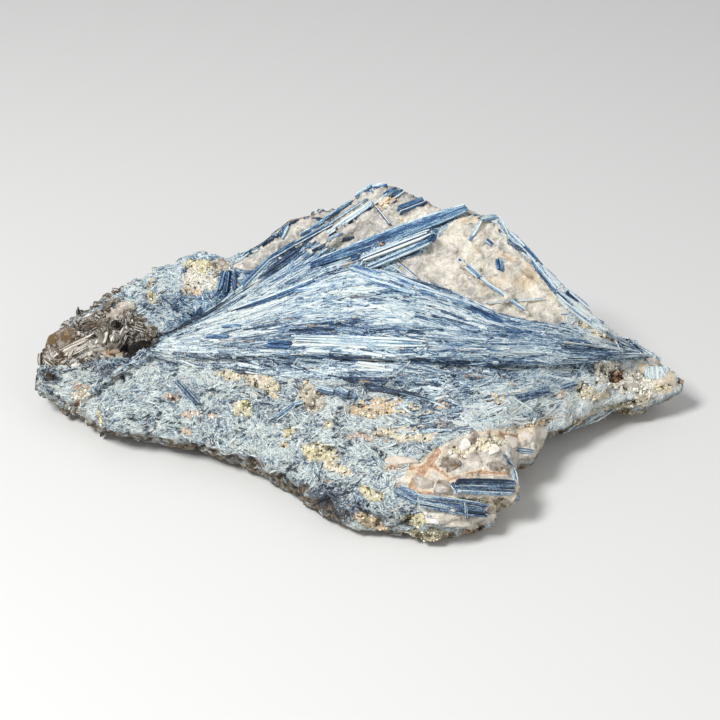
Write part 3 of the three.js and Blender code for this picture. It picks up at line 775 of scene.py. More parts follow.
class Shader:
    """A material being wired up. Each call adds a node and gives its output."""

    def __init__(self, name):
        self.material = bpy.data.materials.new(name)
        self.material.use_nodes = True
        self.tree = self.material.node_tree
        self.surface = self.tree.nodes["Principled BSDF"]

    def node(self, kind, settings=None, **inputs):
        n = self.tree.nodes.new(kind)
        for key, value in (settings or {}).items():
            setattr(n, key, value)
        for key, value in inputs.items():
            self.plug(n.inputs[key.replace("_", " ")], value)
        return n

    def plug(self, socket, value):
        if isinstance(value, bpy.types.NodeSocket):
            self.tree.links.new(value, socket)
        elif socket.type == "RGBA" and len(value) == 3:
            socket.default_value = (*value, 1.0)
        else:
            socket.default_value = value

    def maths(self, operation, a, b=None, clamp=False):
        n = self.tree.nodes.new("ShaderNodeMath")
        n.operation = operation
        n.use_clamp = clamp
        self.plug(n.inputs[0], a)
        if b is not None:
            self.plug(n.inputs[1], b)
        return n.outputs[0]

    def scaled(self, vector, factors):
        n = self.tree.nodes.new("ShaderNodeVectorMath")
        n.operation = "MULTIPLY"
        self.plug(n.inputs[0], vector)
        self.plug(n.inputs[1], factors)
        return n.outputs[0]

    def moved(self, vector, offset):
        n = self.tree.nodes.new("ShaderNodeVectorMath")
        self.plug(n.inputs[0], vector)
        self.plug(n.inputs[1], offset)
        return n.outputs[0]

    def noise(self, vector, size=1.0, detail=3.0, roughness=0.55, distortion=0.0, colour=False):
        n = self.node(
            "ShaderNodeTexNoise", Vector=vector, Scale=1.0 / size, Detail=detail, Roughness=roughness,
            Distortion=distortion,
        )
        return n.outputs["Color" if colour else "Fac"]

    def cells(self, vector, size, feature="F1", output="Distance"):
        n = self.node("ShaderNodeTexVoronoi", {"feature": feature}, Vector=vector, Scale=1.0 / size)
        return n.outputs[output]

    def attribute(self, name, output="Fac"):
        return self.node("ShaderNodeAttribute", {"attribute_name": name}).outputs[output]

    def ramp(self, factor, stops):
        n = self.node("ShaderNodeValToRGB", Fac=factor)
        elements = n.color_ramp.elements
        elements[0].position, elements[0].color = stops[0][0], (*stops[0][1], 1)
        elements[1].position, elements[1].color = stops[-1][0], (*stops[-1][1], 1)
        for position, colour in stops[1:-1]:
            elements.new(position).color = (*colour, 1)
        return n.outputs["Color"]

    def mixed(self, factor, a, b, blend="MIX"):
        n = self.tree.nodes.new("ShaderNodeMix")
        n.data_type = "RGBA"
        n.blend_type = blend
        self.plug(n.inputs["Factor"], factor)
        self.plug(n.inputs[6], a)
        self.plug(n.inputs[7], b)
        return n.outputs[2]

    def blended(self, factor, a, b):
        n = self.tree.nodes.new("ShaderNodeMix")
        self.plug(n.inputs["Factor"], factor)
        self.plug(n.inputs[2], a)
        self.plug(n.inputs[3], b)
        return n.outputs[0]

    def step(self, value, low, high):
        n = self.node("ShaderNodeMapRange", {"interpolation_type": "SMOOTHSTEP"}, Value=value)
        n.inputs["From Min"].default_value = low
        n.inputs["From Max"].default_value = high
        return n.outputs["Result"]

    def spread(self, value, amount):
        """A noise from 0 to 1, made to run half an amount either side of 0."""
        return self.maths("MULTIPLY", self.maths("SUBTRACT", value, 0.5), amount)

    def line(self, value, slope, start):
        """A value times a slope, plus a start."""
        return self.maths("ADD", self.maths("MULTIPLY", value, slope), start)

    def tinted(self, colour, value, low, high, amount, tint):
        """A colour turned towards a tint, by up to an amount, as a value goes from low to high."""
        return self.mixed(self.maths("MULTIPLY", self.step(value, low, high), amount), colour, tint)

    def place(self):
        """Object coordinates in millimetres."""
        return self.scaled(self.node("ShaderNodeTexCoord").outputs["Object"], (1 / MM, 1 / MM, 1 / MM))

    def sheaf(self, place, size, swirl, grain, detail=3.0, distortion=0.0):
        """Streaks across the face that keep one direction in a cell, and swirl slowly from cell to cell."""
        cell = self.cells(place, size, output="Position")
        turn = self.spread(self.noise(cell, size=swirl[0], detail=2.0), swirl[1])
        turned = self.node(
            "ShaderNodeVectorRotate", {"rotation_type": "AXIS_ANGLE"}, Vector=place, Axis=tuple(OUT),
            Angle=turn,
        )
        streaks = self.scaled(turned.outputs["Vector"], grain)
        return self.noise(streaks, detail=detail, roughness=0.62, distortion=distortion)

    def bump(self, height, strength, distance):
        n = self.node("ShaderNodeBump", Strength=strength, Distance=distance, Height=height)
        self.plug(self.surface.inputs["Normal"], n.outputs["Normal"])


def tone_stops():
    """The colours of kyanite by tone, from deep blue to cream."""
    k = bpy.context.scene.kyanite_settings
    stops = [
        (0.0, k.deep), (0.2, k.blue), (0.4, k.sky), (0.58, k.pale), (0.74, k.white), (0.86, k.white),
        (1.0, k.cream),
    ]
    return [(tone, tuple(colour)) for tone, colour in stops]


def mica_stops(tones, darkest, painted_glint):
    """The colours of mica at four tones: near black, brown, silver, and a pale colour that paints its bright
    glints.
    """
    r = bpy.context.scene.rock_settings
    return list(zip(tones, [linear(darkest), tuple(r.mica_brown), tuple(r.mica), linear(painted_glint)]))


def faded_by(s, colour, amount):
    """A colour greyed and warmed a little by an amount from 0 to 1."""
    left = s.maths("SUBTRACT", 1.0, s.maths("MULTIPLY", amount, 0.62))
    grey = s.node("ShaderNodeHueSaturation", Saturation=left, Color=colour).outputs["Color"]
    return s.mixed(s.maths("MULTIPLY", amount, 0.8), grey, (0.96, 1.0, 0.93), "MULTIPLY")


def crystal_material():
    """Bladed kyanite: lengthwise streaks of deep blue to silky white, after each blade's own tone."""
    s = Shader("kyanite blades")
    grain = s.attribute("grain", "Vector")
    broad = s.noise(s.scaled(grain, (0.13, 1.3, 1.3)), detail=4.0, roughness=0.65)
    fine = s.noise(s.scaled(grain, (0.4, 4.0, 4.0)), detail=3.0, roughness=0.7)
    streak = s.maths("ADD", s.maths("MULTIPLY", broad, 1.9), s.maths("MULTIPLY", fine, 1.7))
    speck = s.noise(s.place(), size=0.55, detail=2.0, roughness=0.6)
    speck = s.spread(speck, s.line(s.attribute("faded"), 1.4, 0.6))
    streak = s.maths("MULTIPLY", s.maths("SUBTRACT", streak, 1.8), s.attribute("streaks"))
    value = s.maths("ADD", s.maths("ADD", streak, speck), s.attribute("tone"))
    value = s.maths("MINIMUM", value, s.maths("MAXIMUM", s.attribute("tone"), WHITEST))
    colour = s.ramp(s.maths("MAXIMUM", value, 0.0), tone_stops())
    cross = s.noise(s.scaled(grain, (0.9, 0.5, 0.5)), detail=2.0)
    stained = s.maths("MULTIPLY", s.attribute("stain"), s.step(cross, 0.38, 0.6))
    colour = s.mixed(stained, colour, linear((214, 172, 116)))
    colour = faded_by(s, colour, s.attribute("faded"))
    s.plug(s.surface.inputs["Base Color"], colour)
    s.plug(s.surface.inputs["Roughness"], s.line(fine, 0.35, 0.25))
    s.surface.inputs["Specular IOR Level"].default_value = 0.4
    s.bump(fine, 0.6, 0.0005)
    return s.material


def rock_material():
    """The rock between the crystals: matted kyanite, quartz, granular patches, mica, iron stain and brown
    soil, and painted shade under the rock and in its cracks, pits and seams.
    """
    r = bpy.context.scene.rock_settings
    s = Shader("rock")
    place = s.place()
    grain = s.attribute("grain", "Vector")
    ragged = s.spread(s.noise(place, size=2.2, detail=4.0, roughness=0.65), 7.0)

    spray = s.noise(s.scaled(grain, (0.06, 1.25, 0.2)), detail=5.0, roughness=0.68)
    coarse = s.sheaf(place, 7.0, (24.0, 5.0), (0.12, 0.9, 0.9), distortion=0.25)
    fine = s.sheaf(s.scaled(place, (1.0, 1.07, 0.93)), 2.2, (14.0, 8.0), (0.5, 2.4, 2.4), distortion=0.3)
    matted = s.maths("ADD", s.maths("MULTIPLY", coarse, 0.55), s.maths("MULTIPLY", fine, 0.6))
    matted = s.maths("SUBTRACT", matted, 0.075)
    weave = s.blended(s.attribute("spray"), matted, spray)
    value = s.maths("ADD", s.maths("ADD", s.spread(weave, 3.4), 0.52), s.attribute("tone"))
    value = s.maths("MINIMUM", value, 0.88)
    colour = s.ramp(s.maths("MAXIMUM", value, 0.0), tone_stops())
    colour = faded_by(s, colour, s.attribute("faded"))

    cloud = s.noise(place, size=9.0, detail=3.0)
    warped = s.moved(place, s.scaled(s.noise(place, size=4.0, detail=2.0, colour=True), (4.0, 4.0, 4.0)))
    crack = s.cells(warped, 6.5, feature="DISTANCE_TO_EDGE")
    shells = s.cells(warped, 3.6)
    chips = s.cells(warped, 1.5)
    own_tone = s.maths("MULTIPLY", s.attribute("tone"), 0.4)
    clear = s.maths("ADD", cloud, own_tone)
    quartz = s.mixed(s.step(clear, 0.36, 0.6), tuple(r.quartz_grey), tuple(r.quartz))
    grains = s.noise(place, size=1.3, detail=3.0, roughness=0.7)
    warm = s.maths("ADD", s.noise(place, size=14.0, detail=2.0), own_tone)
    tints = [
        (grains, 0.5, 0.68, 0.5, (238, 232, 218)), (shells, 0.42, 0.72, 0.45, (240, 234, 222)),
        (chips, 0.5, 0.1, 0.35, (148, 140, 128)), (crack, 0.04, 0.0, 0.14, (120, 112, 100)),
        (warm, 0.54, 0.68, 0.45, (222, 198, 154)),
    ]
    for *change, tint in tints:
        quartz = s.tinted(quartz, *change, linear(tint))
    in_quartz = s.step(s.maths("ADD", s.attribute("quartz"), s.maths("MULTIPLY", ragged, 0.4)), -0.25, 0.25)
    colour = s.mixed(in_quartz, colour, quartz)

    speck = s.noise(place, size=0.8, detail=2.0, roughness=0.6)
    own_colour = s.attribute("patch_colour", "Color")
    granular = s.mixed(s.step(speck, 0.42, 0.6), own_colour, linear((246, 238, 218)))
    # Painted shade: darker brown between the sugary grains.
    granular = s.tinted(granular, s.cells(place, 1.6), 0.55, 0.8, 0.35, linear((180, 152, 108)))
    # Painted shade: dark brown spots standing for the shadowed pits of the granular patches.
    pit_shade = s.noise(place, size=1.5, detail=2.0)
    granular = s.mixed(s.step(pit_shade, 0.57, 0.64), granular, linear((74, 56, 40)))
    in_patch = s.step(s.maths("ADD", s.attribute("patch"), s.maths("MULTIPLY", ragged, 0.5)), -0.2, 0.3)
    colour = s.mixed(in_patch, colour, granular)

    sheets = s.sheaf(place, 5.0, (9.0, 9.0), (0.3, 1.5, 1.5), detail=4.0, distortion=0.3)
    sheets = s.maths("ADD", sheets, s.maths("MULTIPLY", s.attribute("tone"), 0.3))
    # The palest mica colour is a painted glint.
    flaky = s.ramp(sheets, mica_stops((0.36, 0.45, 0.5, 0.6), (34, 32, 30), (224, 220, 210)))
    in_mica = s.step(s.maths("ADD", s.attribute("mica"), ragged), -0.6, 0.6)
    colour = s.mixed(in_mica, colour, flaky)

    iron = s.maths("ADD", s.attribute("iron"), s.maths("MULTIPLY", ragged, 0.22))
    colour = s.tinted(colour, iron, -1.1, -0.5, 0.7, linear((236, 216, 186)))
    rusty = s.mixed(s.step(speck, 0.4, 0.62), tuple(r.iron), linear((204, 164, 132)))
    colour = s.tinted(colour, iron, -0.35, 0.2, 0.9, rusty)
    # Painted shade under the rock, mixed with the real brown soil of the weathered edge and the back.
    dirt_and_shade = s.maths("MULTIPLY", s.attribute("dirt_and_shade"), s.step(s.noise(place, size=3.5, detail=4.0), 0.3, 0.56))
    soil_and_shade = s.mixed(s.step(grains, 0.4, 0.66), linear((34, 29, 24)), linear((172, 146, 108)))
    colour = s.mixed(dirt_and_shade, colour, soil_and_shade)
    # Painted shade: near black in the cracks, pits, seams and holes.
    colour = s.mixed(s.attribute("gap"), colour, linear((26, 26, 30)))

    s.plug(s.surface.inputs["Base Color"], colour)
    rough = s.blended(in_quartz, s.line(weave, 0.3, 0.4), 0.36)
    s.plug(s.surface.inputs["Roughness"], s.blended(in_patch, rough, 0.8))
    scallops = s.maths("ADD", s.maths("MULTIPLY", shells, 0.55), s.maths("MULTIPLY", chips, 0.22))
    scallops = s.maths("ADD", scallops, s.maths("MULTIPLY", grains, 0.3))
    height = s.blended(in_quartz, s.maths("MULTIPLY", weave, 1.5), scallops)
    height = s.maths("ADD", height, s.maths("MULTIPLY", speck, in_patch))
    s.bump(height, 0.9, 0.0013)
    return s.material


def quartz_material():
    """Glassy grains of quartz, white to smoky grey after each grain's own tone."""
    s = Shader("quartz grains")
    place = s.place()
    cloud = s.noise(place, size=2.6, detail=4.0)
    grey = s.maths("ADD", s.attribute("tone"), s.spread(cloud, 1.2))
    colour = s.ramp(s.maths("MAXIMUM", grey, 0.0), [
        (0.0, linear((244, 238, 230))), (0.4, linear((214, 204, 190))), (0.85, linear((148, 140, 132))),
        (1.0, linear((104, 84, 58))),
    ])
    colour = s.tinted(colour, s.noise(place, size=1.0, detail=3.0), 0.58, 0.7, 0.4, linear((206, 168, 116)))
    s.plug(s.surface.inputs["Base Color"], colour)
    s.plug(s.surface.inputs["Roughness"], s.line(cloud, 0.3, 0.16))
    s.bump(cloud, 0.4, 0.0008)
    return s.material


def granule_material():
    """Small sugary grains, cream to ochre after each grain's own tone."""
    s = Shader("granules")
    place = s.place()
    speck = s.noise(place, size=0.6, detail=2.0)
    value = s.maths("ADD", s.attribute("tone"), s.spread(speck, 0.8))
    colour = s.mixed(s.step(value, 0.0, 0.6), linear((250, 246, 236)), s.attribute("patch_colour", "Color"))
    colour = s.mixed(s.step(value, 0.85, 1.2), colour, linear((122, 98, 68)))
    s.plug(s.surface.inputs["Base Color"], colour)
    s.plug(s.surface.inputs["Roughness"], s.line(speck, 0.4, 0.4))
    s.bump(speck, 0.5, 0.0005)
    return s.material


def brown_material():
    """Brown crystals lining a hole, nearly black to tan after each one's own tone."""
    s = Shader("brown crystals")
    place = s.place()
    patchy = s.noise(place, size=0.8, detail=3.0)
    value = s.maths("ADD", s.attribute("tone"), s.spread(patchy, 0.8))
    colour = s.ramp(s.maths("MAXIMUM", value, 0.0), [
        (0.0, linear((40, 22, 16))), (0.35, linear((104, 60, 38))), (0.7, linear((198, 152, 108))),
        (1.0, linear((242, 232, 216))),
    ])
    s.plug(s.surface.inputs["Base Color"], colour)
    s.plug(s.surface.inputs["Roughness"], s.line(patchy, 0.4, 0.15))
    s.bump(patchy, 0.4, 0.0005)
    return s.material


def mica_material():
    """Mica sheets: brown-black to silver after each sheet's own tone, with sharp glints, partly from a low
    roughness and partly painted in as a pale colour.
    """
    s = Shader("mica sheets")
    place = s.place()
    patchy = s.noise(place, size=3.0, detail=4.0)
    value = s.maths("ADD", s.attribute("tone"), s.spread(patchy, 1.1))
    stops = mica_stops((0.0, 0.3, 0.6, 1.0), (34, 30, 28), (236, 228, 216))
    colour = s.ramp(s.maths("MAXIMUM", value, 0.0), stops)
    s.plug(s.surface.inputs["Base Color"], colour)
    s.plug(s.surface.inputs["Roughness"], s.line(patchy, 0.35, 0.12))
    s.surface.inputs["Specular IOR Level"].default_value = 0.8
    s.bump(patchy, 0.5, 0.0008)
    return s.material


# ---- the rock ------------------------------------------------------------------------------------


def refined_rock(voxel):
    """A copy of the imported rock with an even, fine mesh."""
    piece = new_object("rock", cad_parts[NODE].data.copy())
    piece.data.materials.clear()
    only(piece)
    bpy.ops.object.mode_set(mode="EDIT")
    bpy.ops.mesh.select_all(action="SELECT")
    bpy.ops.mesh.remove_doubles(threshold=1e-6)
    bpy.ops.object.mode_set(mode="OBJECT")
    remesh = piece.modifiers.new("even mesh", "REMESH")
    remesh.mode = "VOXEL"
    remesh.voxel_size = voxel
    remesh.use_smooth_shade = True
    bpy.ops.object.modifier_apply(modifier=remesh.name)
    return piece


def sprays(places):
    """How much places belong to a spray, and where they lie across its fibres."""
    across = between(SPRAY_LINES, places)
    left = between(LEFT_LINES, places)
    rim = between(RIM_LINES, places)
    x = places[:, 0]
    in_spray = smooth(-0.02, 0.02, across) * smooth(4.06, 3.98, across) * smooth(-82, -72, x)
    in_left = smooth(-0.1, 0.0, left) * smooth(2.1, 2.0, left) * smooth(-1, -9, x) * (1 - in_spray)
    in_rim = smooth(-0.05, 0.0, rim) * smooth(52, 56, x) * (1 - in_spray)
    bundle = np.where(in_spray > 0.5, across * 8.5, np.where(in_rim > 0.5, rim * 9 + 60, left * 14 + 120))
    return np.clip(in_spray + in_left + in_rim, 0, 1), bundle


def lenses(places):
    """Lens-shaped areas of the face, from -0.5 to 0.5, and how near places are to the seams between, which are
    sunk and painted dark as shade.
    """
    spray, bundle = sprays(places)
    x, t = places.T
    matted = np.stack([x * 0.75, t * 1.6 + 9 * np.sin(x / 17), 0 * x], axis=1)
    combed = np.stack([x * 0.13, bundle * 1.3, 0 * x + 40], axis=1)
    spots = np.where(spray[:, None] > 0.5, combed, matted)
    level = noise(spots, 5.0, 2, 81)
    broken = smooth(-0.3, 0.15, noise(spots, 8.0, 2, 85))
    return smooth(-0.2, 0.2, level) - 0.5, smooth(0.13, 0.03, np.abs(level)) * broken


def rock_fields(points, normals, seed):
    """What each point of the rock is made of, as distances inside each mineral, and where shade is painted on
    it.
    """
    places = face_of(points)
    fronts = smooth(-0.12, 0.12, normals @ OUT + 0.05 * noise(points, 5.0, 2, seed))
    outside = -8.0
    quartz = np.max([inside_by(places, o) for o in QUARTZ_FACES.values()], axis=0)
    mica = inside_by(places, MICA_END)
    patch = np.full(len(points), outside)
    patch_colour = np.tile(linear(PATCH_COLOURS["cream"]), (len(points), 1))
    wander = 1.5 * np.stack([noise(points, 5.0, 2, seed + 101), noise(points, 5.0, 2, seed + 102)], axis=1)
    for x, t, a, b, turn, name in PATCHES:
        field = blob_field(places + wander, x, t, a, b, turn)
        better = field > patch
        patch[better] = field[better]
        patch_colour[better] = linear(PATCH_COLOURS[name])
    iron = np.full(len(points), outside)
    for line, half_width in IRON_CRACKS:
        for a, b in zip(line, line[1:]):
            iron = np.maximum(iron, half_width - distance_to(places, a, b))

    spray, bundle = sprays(places)
    spray = spray * fronts
    grain = np.stack([points[:, 0] * 1.05, bundle, points @ OUT], axis=1)
    seam = lenses(places)[1] * fronts
    tone = region_tone(places) * fronts

    hole = smooth(0.36, 0.56, noise(points, 2.2, 2, seed + 71))
    # Painted shade: near black in the holes of the granular patches, along the cracks and in the pits.
    gap = 0.85 * hole * smooth(-0.4, 0.3, patch)
    for line, half_width, _ in GROOVES:
        for a, b in zip(line, line[1:]):
            gap = np.maximum(gap, smooth(half_width * 0.75, half_width * 0.1, distance_to(places, a, b)))
    for x, t, radius, _ in PITS:
        gap = np.maximum(gap, smooth(1.1, 0.5, np.hypot(places[:, 0] - x, places[:, 1] - t) / radius))
    gap *= fronts
    side = points[:, 0]
    faded = smooth(31, 27, places[:, 1]) * (0.75 - 0.35 * smooth(15, 60, side)) + 0.12
    faded = np.maximum(faded + 0.5 * smooth(-98, -112, side), smooth(-62, -82, side) * 0.6)
    faded = np.clip(faded * fronts + 0.5 * (1 - fronts), 0, 1)

    back_quartz = 9 * noise(points, 34.0, 3, seed + 3) - 2.5
    back_patch = 6 * noise(points, 11.0, 3, seed + 5) - 4.6
    back_mica = np.minimum(8.0, -points[:, 0] - 96 + 7 * noise(points, 18.0, 2, seed + 9))
    quartz = quartz * fronts + back_quartz * (1 - fronts)
    patch = patch * fronts + back_patch * (1 - fronts)
    mica = mica * fronts + back_mica * (1 - fronts)
    iron = iron * fronts + outside * (1 - fronts)
    tone += (1 - fronts) * (0.12 * noise(points, 16.0, 2, seed + 11) - 0.02)
    # Painted shade: darker on faces that turn down near the floor, as under the rock.
    under = smooth(-0.05, -0.6, normals[:, 2]) * smooth(26, 6, points[:, 2])
    rim_dirt = smooth(13, 5, points[:, 2]) * smooth(6, -24, points[:, 0]) * 0.9
    edge = np.min([distance_to(places, a, b) for a, b in zip(WEATHERED, WEATHERED[1:])], axis=0)
    rim_dirt = np.maximum(rim_dirt, smooth(5.0, 2.4, edge + noise(points, 4.0, 2, seed + 15)))
    stained = smooth(0.2, 0.7, noise(points, 22.0, 2, seed + 13))
    # This mask mixes the real brown edge and stains with the painted shade under the rock.
    dirt_and_shade = np.clip(under + rim_dirt + (1 - fronts) * 0.25 * stained, 0, 1)
    # The sunk seams between the lenses are painted dark as well, as shade.
    gap = np.maximum(gap * 0.8, seam * 0.8 * smooth(0.5, -1, quartz) * smooth(0.5, -1, patch))
    return {
        "quartz": quartz, "patch": patch, "patch_colour": patch_colour, "mica": mica, "iron": iron,
        "tone": tone, "spray": spray, "grain": grain, "fronts": fronts, "dirt_and_shade": dirt_and_shade, "places": places,
        "gap": gap, "faded": faded, "seam": seam, "hole": hole,
    }


def roughened(points, normals, f, seed):
    """The rock's points moved out or in, by what each part is made of."""
    in_quartz = smooth(-1, 1, f["quartz"])
    in_patch = smooth(-0.6, 0.6, f["patch"])
    in_mica = smooth(-2, 2, f["mica"])
    rest = np.clip(1 - in_quartz - in_mica, 0, 1)
    backs = 1 - f["fronts"]
    lift = 0.5 * noise(points, 9.0, 3, seed)
    ridges = noise(f["grain"] * (0.09, 0.55, 0.1), 1.0, 3, seed + 20)
    steps = noise(f["grain"] * (0.05, 0.22, 0.05), 1.0, 2, seed + 22)
    lift += f["spray"] * rest * (0.75 * ridges + 0.9 * np.round(steps * 2.2) / 2.2)
    matted = (1 - f["spray"]) * rest
    lift += matted * (0.7 * noise(points, 4.0, 3, seed + 30) + facets(points, 5.0, 0.24, seed + 31))
    lift += in_quartz * (facets(points, 7.5, 0.2, seed + 40) + 0.7 * facets(points, 3.2, 0.24, seed + 42))
    lift += in_mica * (facets(points, 6.5, 0.5, seed + 50) + facets(points, 3.0, 0.4, seed + 52))
    lift += backs * (facets(points, 17.0, 0.24, seed + 60) + 0.8 * facets(points, 6.0, 0.2, seed + 61))
    lift += in_patch * (0.45 * noise(points, 1.9, 2, seed + 70) - 0.5 - 1.6 * f["hole"])
    for x, t, radius, depth in PITS:
        r = np.hypot(f["places"][:, 0] - x, f["places"][:, 1] - t) / radius
        lift -= f["fronts"] * depth * smooth(1.25, 0.35, r)
    for x, t, radius, height in SWELLS:
        r = np.hypot(f["places"][:, 0] - x, f["places"][:, 1] - t) / radius
        lift += height * smooth(1.1, 0.3, r)
    for line, half_width, depth in GROOVES:
        for a, b in zip(line, line[1:]):
            lift -= f["fronts"] * depth * 0.5 * smooth(half_width * 1.5, 0, distance_to(f["places"], a, b))
    lift -= 0.8 * f["seam"] * rest * (1 - in_patch)
    lift *= smooth(0.3, 5.0, points[:, 2])
    moved = points + normals * np.clip(lift, -4.0, 3.0)[:, None]
    moved[:, 2] = np.where(points[:, 2] < 0.9, np.minimum(moved[:, 2], 0.4), moved[:, 2])
    return boxed(moved, floor=0.0)


class KYANITE_OT_rock(bpy.types.Operator):
    """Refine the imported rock, roughen it and map its minerals"""

    bl_idname = "kyanite.rock"
    bl_label = "Rock"

    def execute(self, context):
        r = context.scene.rock_settings
        piece = refined_rock(r.voxel)
        mesh = piece.data
        points, normals = points_of(mesh), normals_of(mesh)
        fields = rock_fields(points, normals, r.seed)
        set_points(mesh, roughened(points, normals, fields, r.seed))
        for name in ("quartz", "patch", "mica", "iron", "tone", "spray", "dirt_and_shade", "gap", "faded"):
            put(mesh, name, fields[name])
        put(mesh, "grain", fields["grain"], "FLOAT_VECTOR")
        put(mesh, "patch_colour", fields["patch_colour"], "FLOAT_COLOR")
        ground = Ground(mesh)
        for name, values in fields.items():
            ground.keep(name, values)
        made["ground"] = ground
        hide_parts(NODE)
        finish_piece(piece, rock_material())
        return {"FINISHED"}


# ---- crystals ------------------------------------------------------------------------------------


def follow(lines, rng, count, starts, lengths):
    """Routes on the face that run along a set of lines, each at its own place across them."""
    stations, margin = 4, 0.02
    gaps = len(lines) - 1
    across = rng.uniform(margin, gaps - margin, count)
    x0 = rng.uniform(*starts, count)
    reach = rng.uniform(0, 1, count) ** 1.6 * (lengths[1] - lengths[0]) + lengths[0]
    xs = x0[:, None] + reach[:, None] * np.linspace(0, 1, stations)[None]
    drift = across[:, None] + rng.normal(0, 0.1, (count, 1)) * np.linspace(-1, 1, stations)[None]
    drift = np.clip(drift, margin, gaps - margin)
    low = np.floor(drift).astype(int).clip(0, gaps - 1)
    ts = np.stack([line_at(line, xs) for line in lines])
    a = np.take_along_axis(ts, low[None], 0)[0]
    b = np.take_along_axis(ts, low[None] + 1, 0)[0]
    t = a + (b - a) * (drift - low)
    return np.stack([xs, t], axis=-1)


def steady(depths, places, slack=1.6):
    """Which routes lie on the surface all the way, with no jump from one level to another."""
    jump = np.abs(np.diff(depths, axis=1))
    run = np.linalg.norm(np.diff(places, axis=1), axis=2)
    return np.isfinite(depths).all(axis=1) & (jump < 0.9 * run + slack).all(axis=1)


def region_tone(places):
    """How much darker or paler the face is at places."""
    area, seam = lenses(places)
    # The sunk seams are darkened here as painted shade.
    tone = 0.18 * area - 0.4 * seam
    for x, t, a, b, turn, shift in TONES:
        tone += shift * smooth(-0.6, 0.8, blob_field(places, x, t, a, b, turn))
    return tone


class KYANITE_OT_spray(bpy.types.Operator):
    """Lay the blades of the spray, of the left-hand spray and of the right-hand rim"""

    bl_idname = "kyanite.spray"
    bl_label = "Spray"

    def execute(self, context):
        spray_count = context.scene.kyanite_settings.spray_count
        rng = np.random.default_rng(11)
        # name, lines, share of the count, starts, lengths, widths, off quartz, tone, stained share, fading
        sets = [
            ("spray_blades", SPRAY_LINES, 1, (-79, 106), (2.5, 26), (0.25, 1.2), False, 0.49, 0.02, 0.25),
            ("left_blades", LEFT_LINES, 2 / 5, (-82, -16), (4, 26), (0.3, 1.4), True, 0.48, 0.04, 0.15),
            ("rim_blades", RIM_LINES, 1 / 6, (54, 104), (4, 22), (0.3, 1.3), True, 0.58, 0.2, 0.2),
            ("lower_blades", LOWER_LINES, 1 / 5, (12, 76), (3, 15), (0.3, 1.3), True, 0.48, 0.1, 0.45),
            ("foot_blades", FOOT_LINES, 1 / 6, (-82, 22), (3, 20), (0.3, 1.4), True, 0.4, 0.1, 0.4),
        ]
        for number, (name, lines, share, *laying, base, stained, faded) in enumerate(sets):
            count = int(spray_count * share)
            points, normals, wide, places, n = lay_along(lines, rng, count, *laying)
            wide = wide * (0.4 + 0.6 * smooth(MEETING[0], 40, places[:, 0, 0]))
            middle = places[:, places.shape[1] // 2]
            spots = np.stack([middle[:, 0] * 0.4, middle[:, 1] * 1.6, 0 * middle[:, 0]], axis=1)
            tones = base + rng.normal(0, 0.14, n) + 0.22 * noise(spots, 6.0, 2, 91)
            # region_tone carries painted shade and painted light as well as the rock's own tone.
            tones = tones + 1.1 * region_tone(middle)
            thick = wide * rng.uniform(0.4, 0.8, n)
            stains = (rng.uniform(0, 1, n) < stained) * rng.uniform(0.3, 0.8, n)
            fading = faded + 0.35 * smooth(-10, -60, middle[:, 0])
            piece = bars(
                name, points, normals, wide, thick, np.minimum(tones, WHITEST), stains, fading,
                roll=rng.normal(0, 0.35, n), seed=12 + number,
            )
            finish_piece(piece, shared(crystal_material))
        return {"FINISHED"}


def off_quartz(places):
    """Which routes keep off the bare quartz and out of the wide cracks."""
    middle = places[:, places.shape[1] // 2]
    quartz = np.max([inside_by(middle, o) for o in QUARTZ_FACES.values()], axis=0)
    cracks = [line for line, half_width, _ in GROOVES if half_width > 1]
    away = [distance_to(middle, a, b) for line in cracks for a, b in zip(line, line[1:])]
    return (quartz < 0.6) & (np.min(away, axis=0) > 0.9)


def lay_along(lines, rng, count, starts, lengths, widths, keep_off):
    """Blades of a spray, laid on the rock along its lines."""
    ground = made["ground"]
    places = follow(lines, rng, count, starts, lengths)
    points, normals, depths = ground.drop(places)
    good = steady(depths, places)
    if keep_off:
        good &= off_quartz(places)
    points, normals, places = points[good], normals[good], places[good]
    level = points @ OUT
    eased = level.copy()
    eased[:, 1:-1] = 0.25 * level[:, :-2] + 0.5 * level[:, 1:-1] + 0.25 * level[:, 2:]
    points = points + OUT * (eased - level)[..., None]
    facing = unit(unit(normals.mean(axis=1, keepdims=True)) + 0.3 * OUT)
    facing = np.broadcast_to(facing, points.shape)
    points = points + facing * rng.uniform(-0.25, 0.3, (len(points), 1, 1))
    wide = rng.uniform(0, 1, len(points)) ** 2 * (widths[1] - widths[0]) + widths[0]
    return points, facing, wide, places, len(points)


def scattered(rng, chosen, lean, lengths, widths, sheaf, swirl, spread, sunk, stations):
    """Short straight blades on chosen faces of the rock, in sheaves that share a direction."""
    ground = made["ground"]
    count = len(chosen)
    centre, normal = ground.centres[chosen], ground.normals[chosen]
    centre = centre + rng.normal(0, 0.3, centre.shape)
    flow = unit(lean - (lean * normal).sum(axis=1, keepdims=True) * normal)
    aside = np.cross(normal, flow)
    turn = swirl * noise(centre, sheaf, 2, 77) + rng.normal(0, spread, count)
    direction = flow * np.cos(turn)[:, None] + aside * np.sin(turn)[:, None]
    length = rng.uniform(0, 1, count) ** 1.8 * (lengths[1] - lengths[0]) + lengths[0]
    wide = rng.uniform(0, 1, count) ** 1.6 * (widths[1] - widths[0]) + widths[0]
    reach = (direction * length[:, None] / 2)[:, None] * np.linspace(-1, 1, stations)[:, None]
    routes = ground.settle(centre[:, None] + reach)
    routes = routes + (normal * rng.uniform(-sunk, 0.05, (count, 1)))[:, None]
    routes[..., 2] = np.maximum(routes[..., 2], 0.3)
    return routes, np.repeat(normal[:, None], stations, axis=1), wide


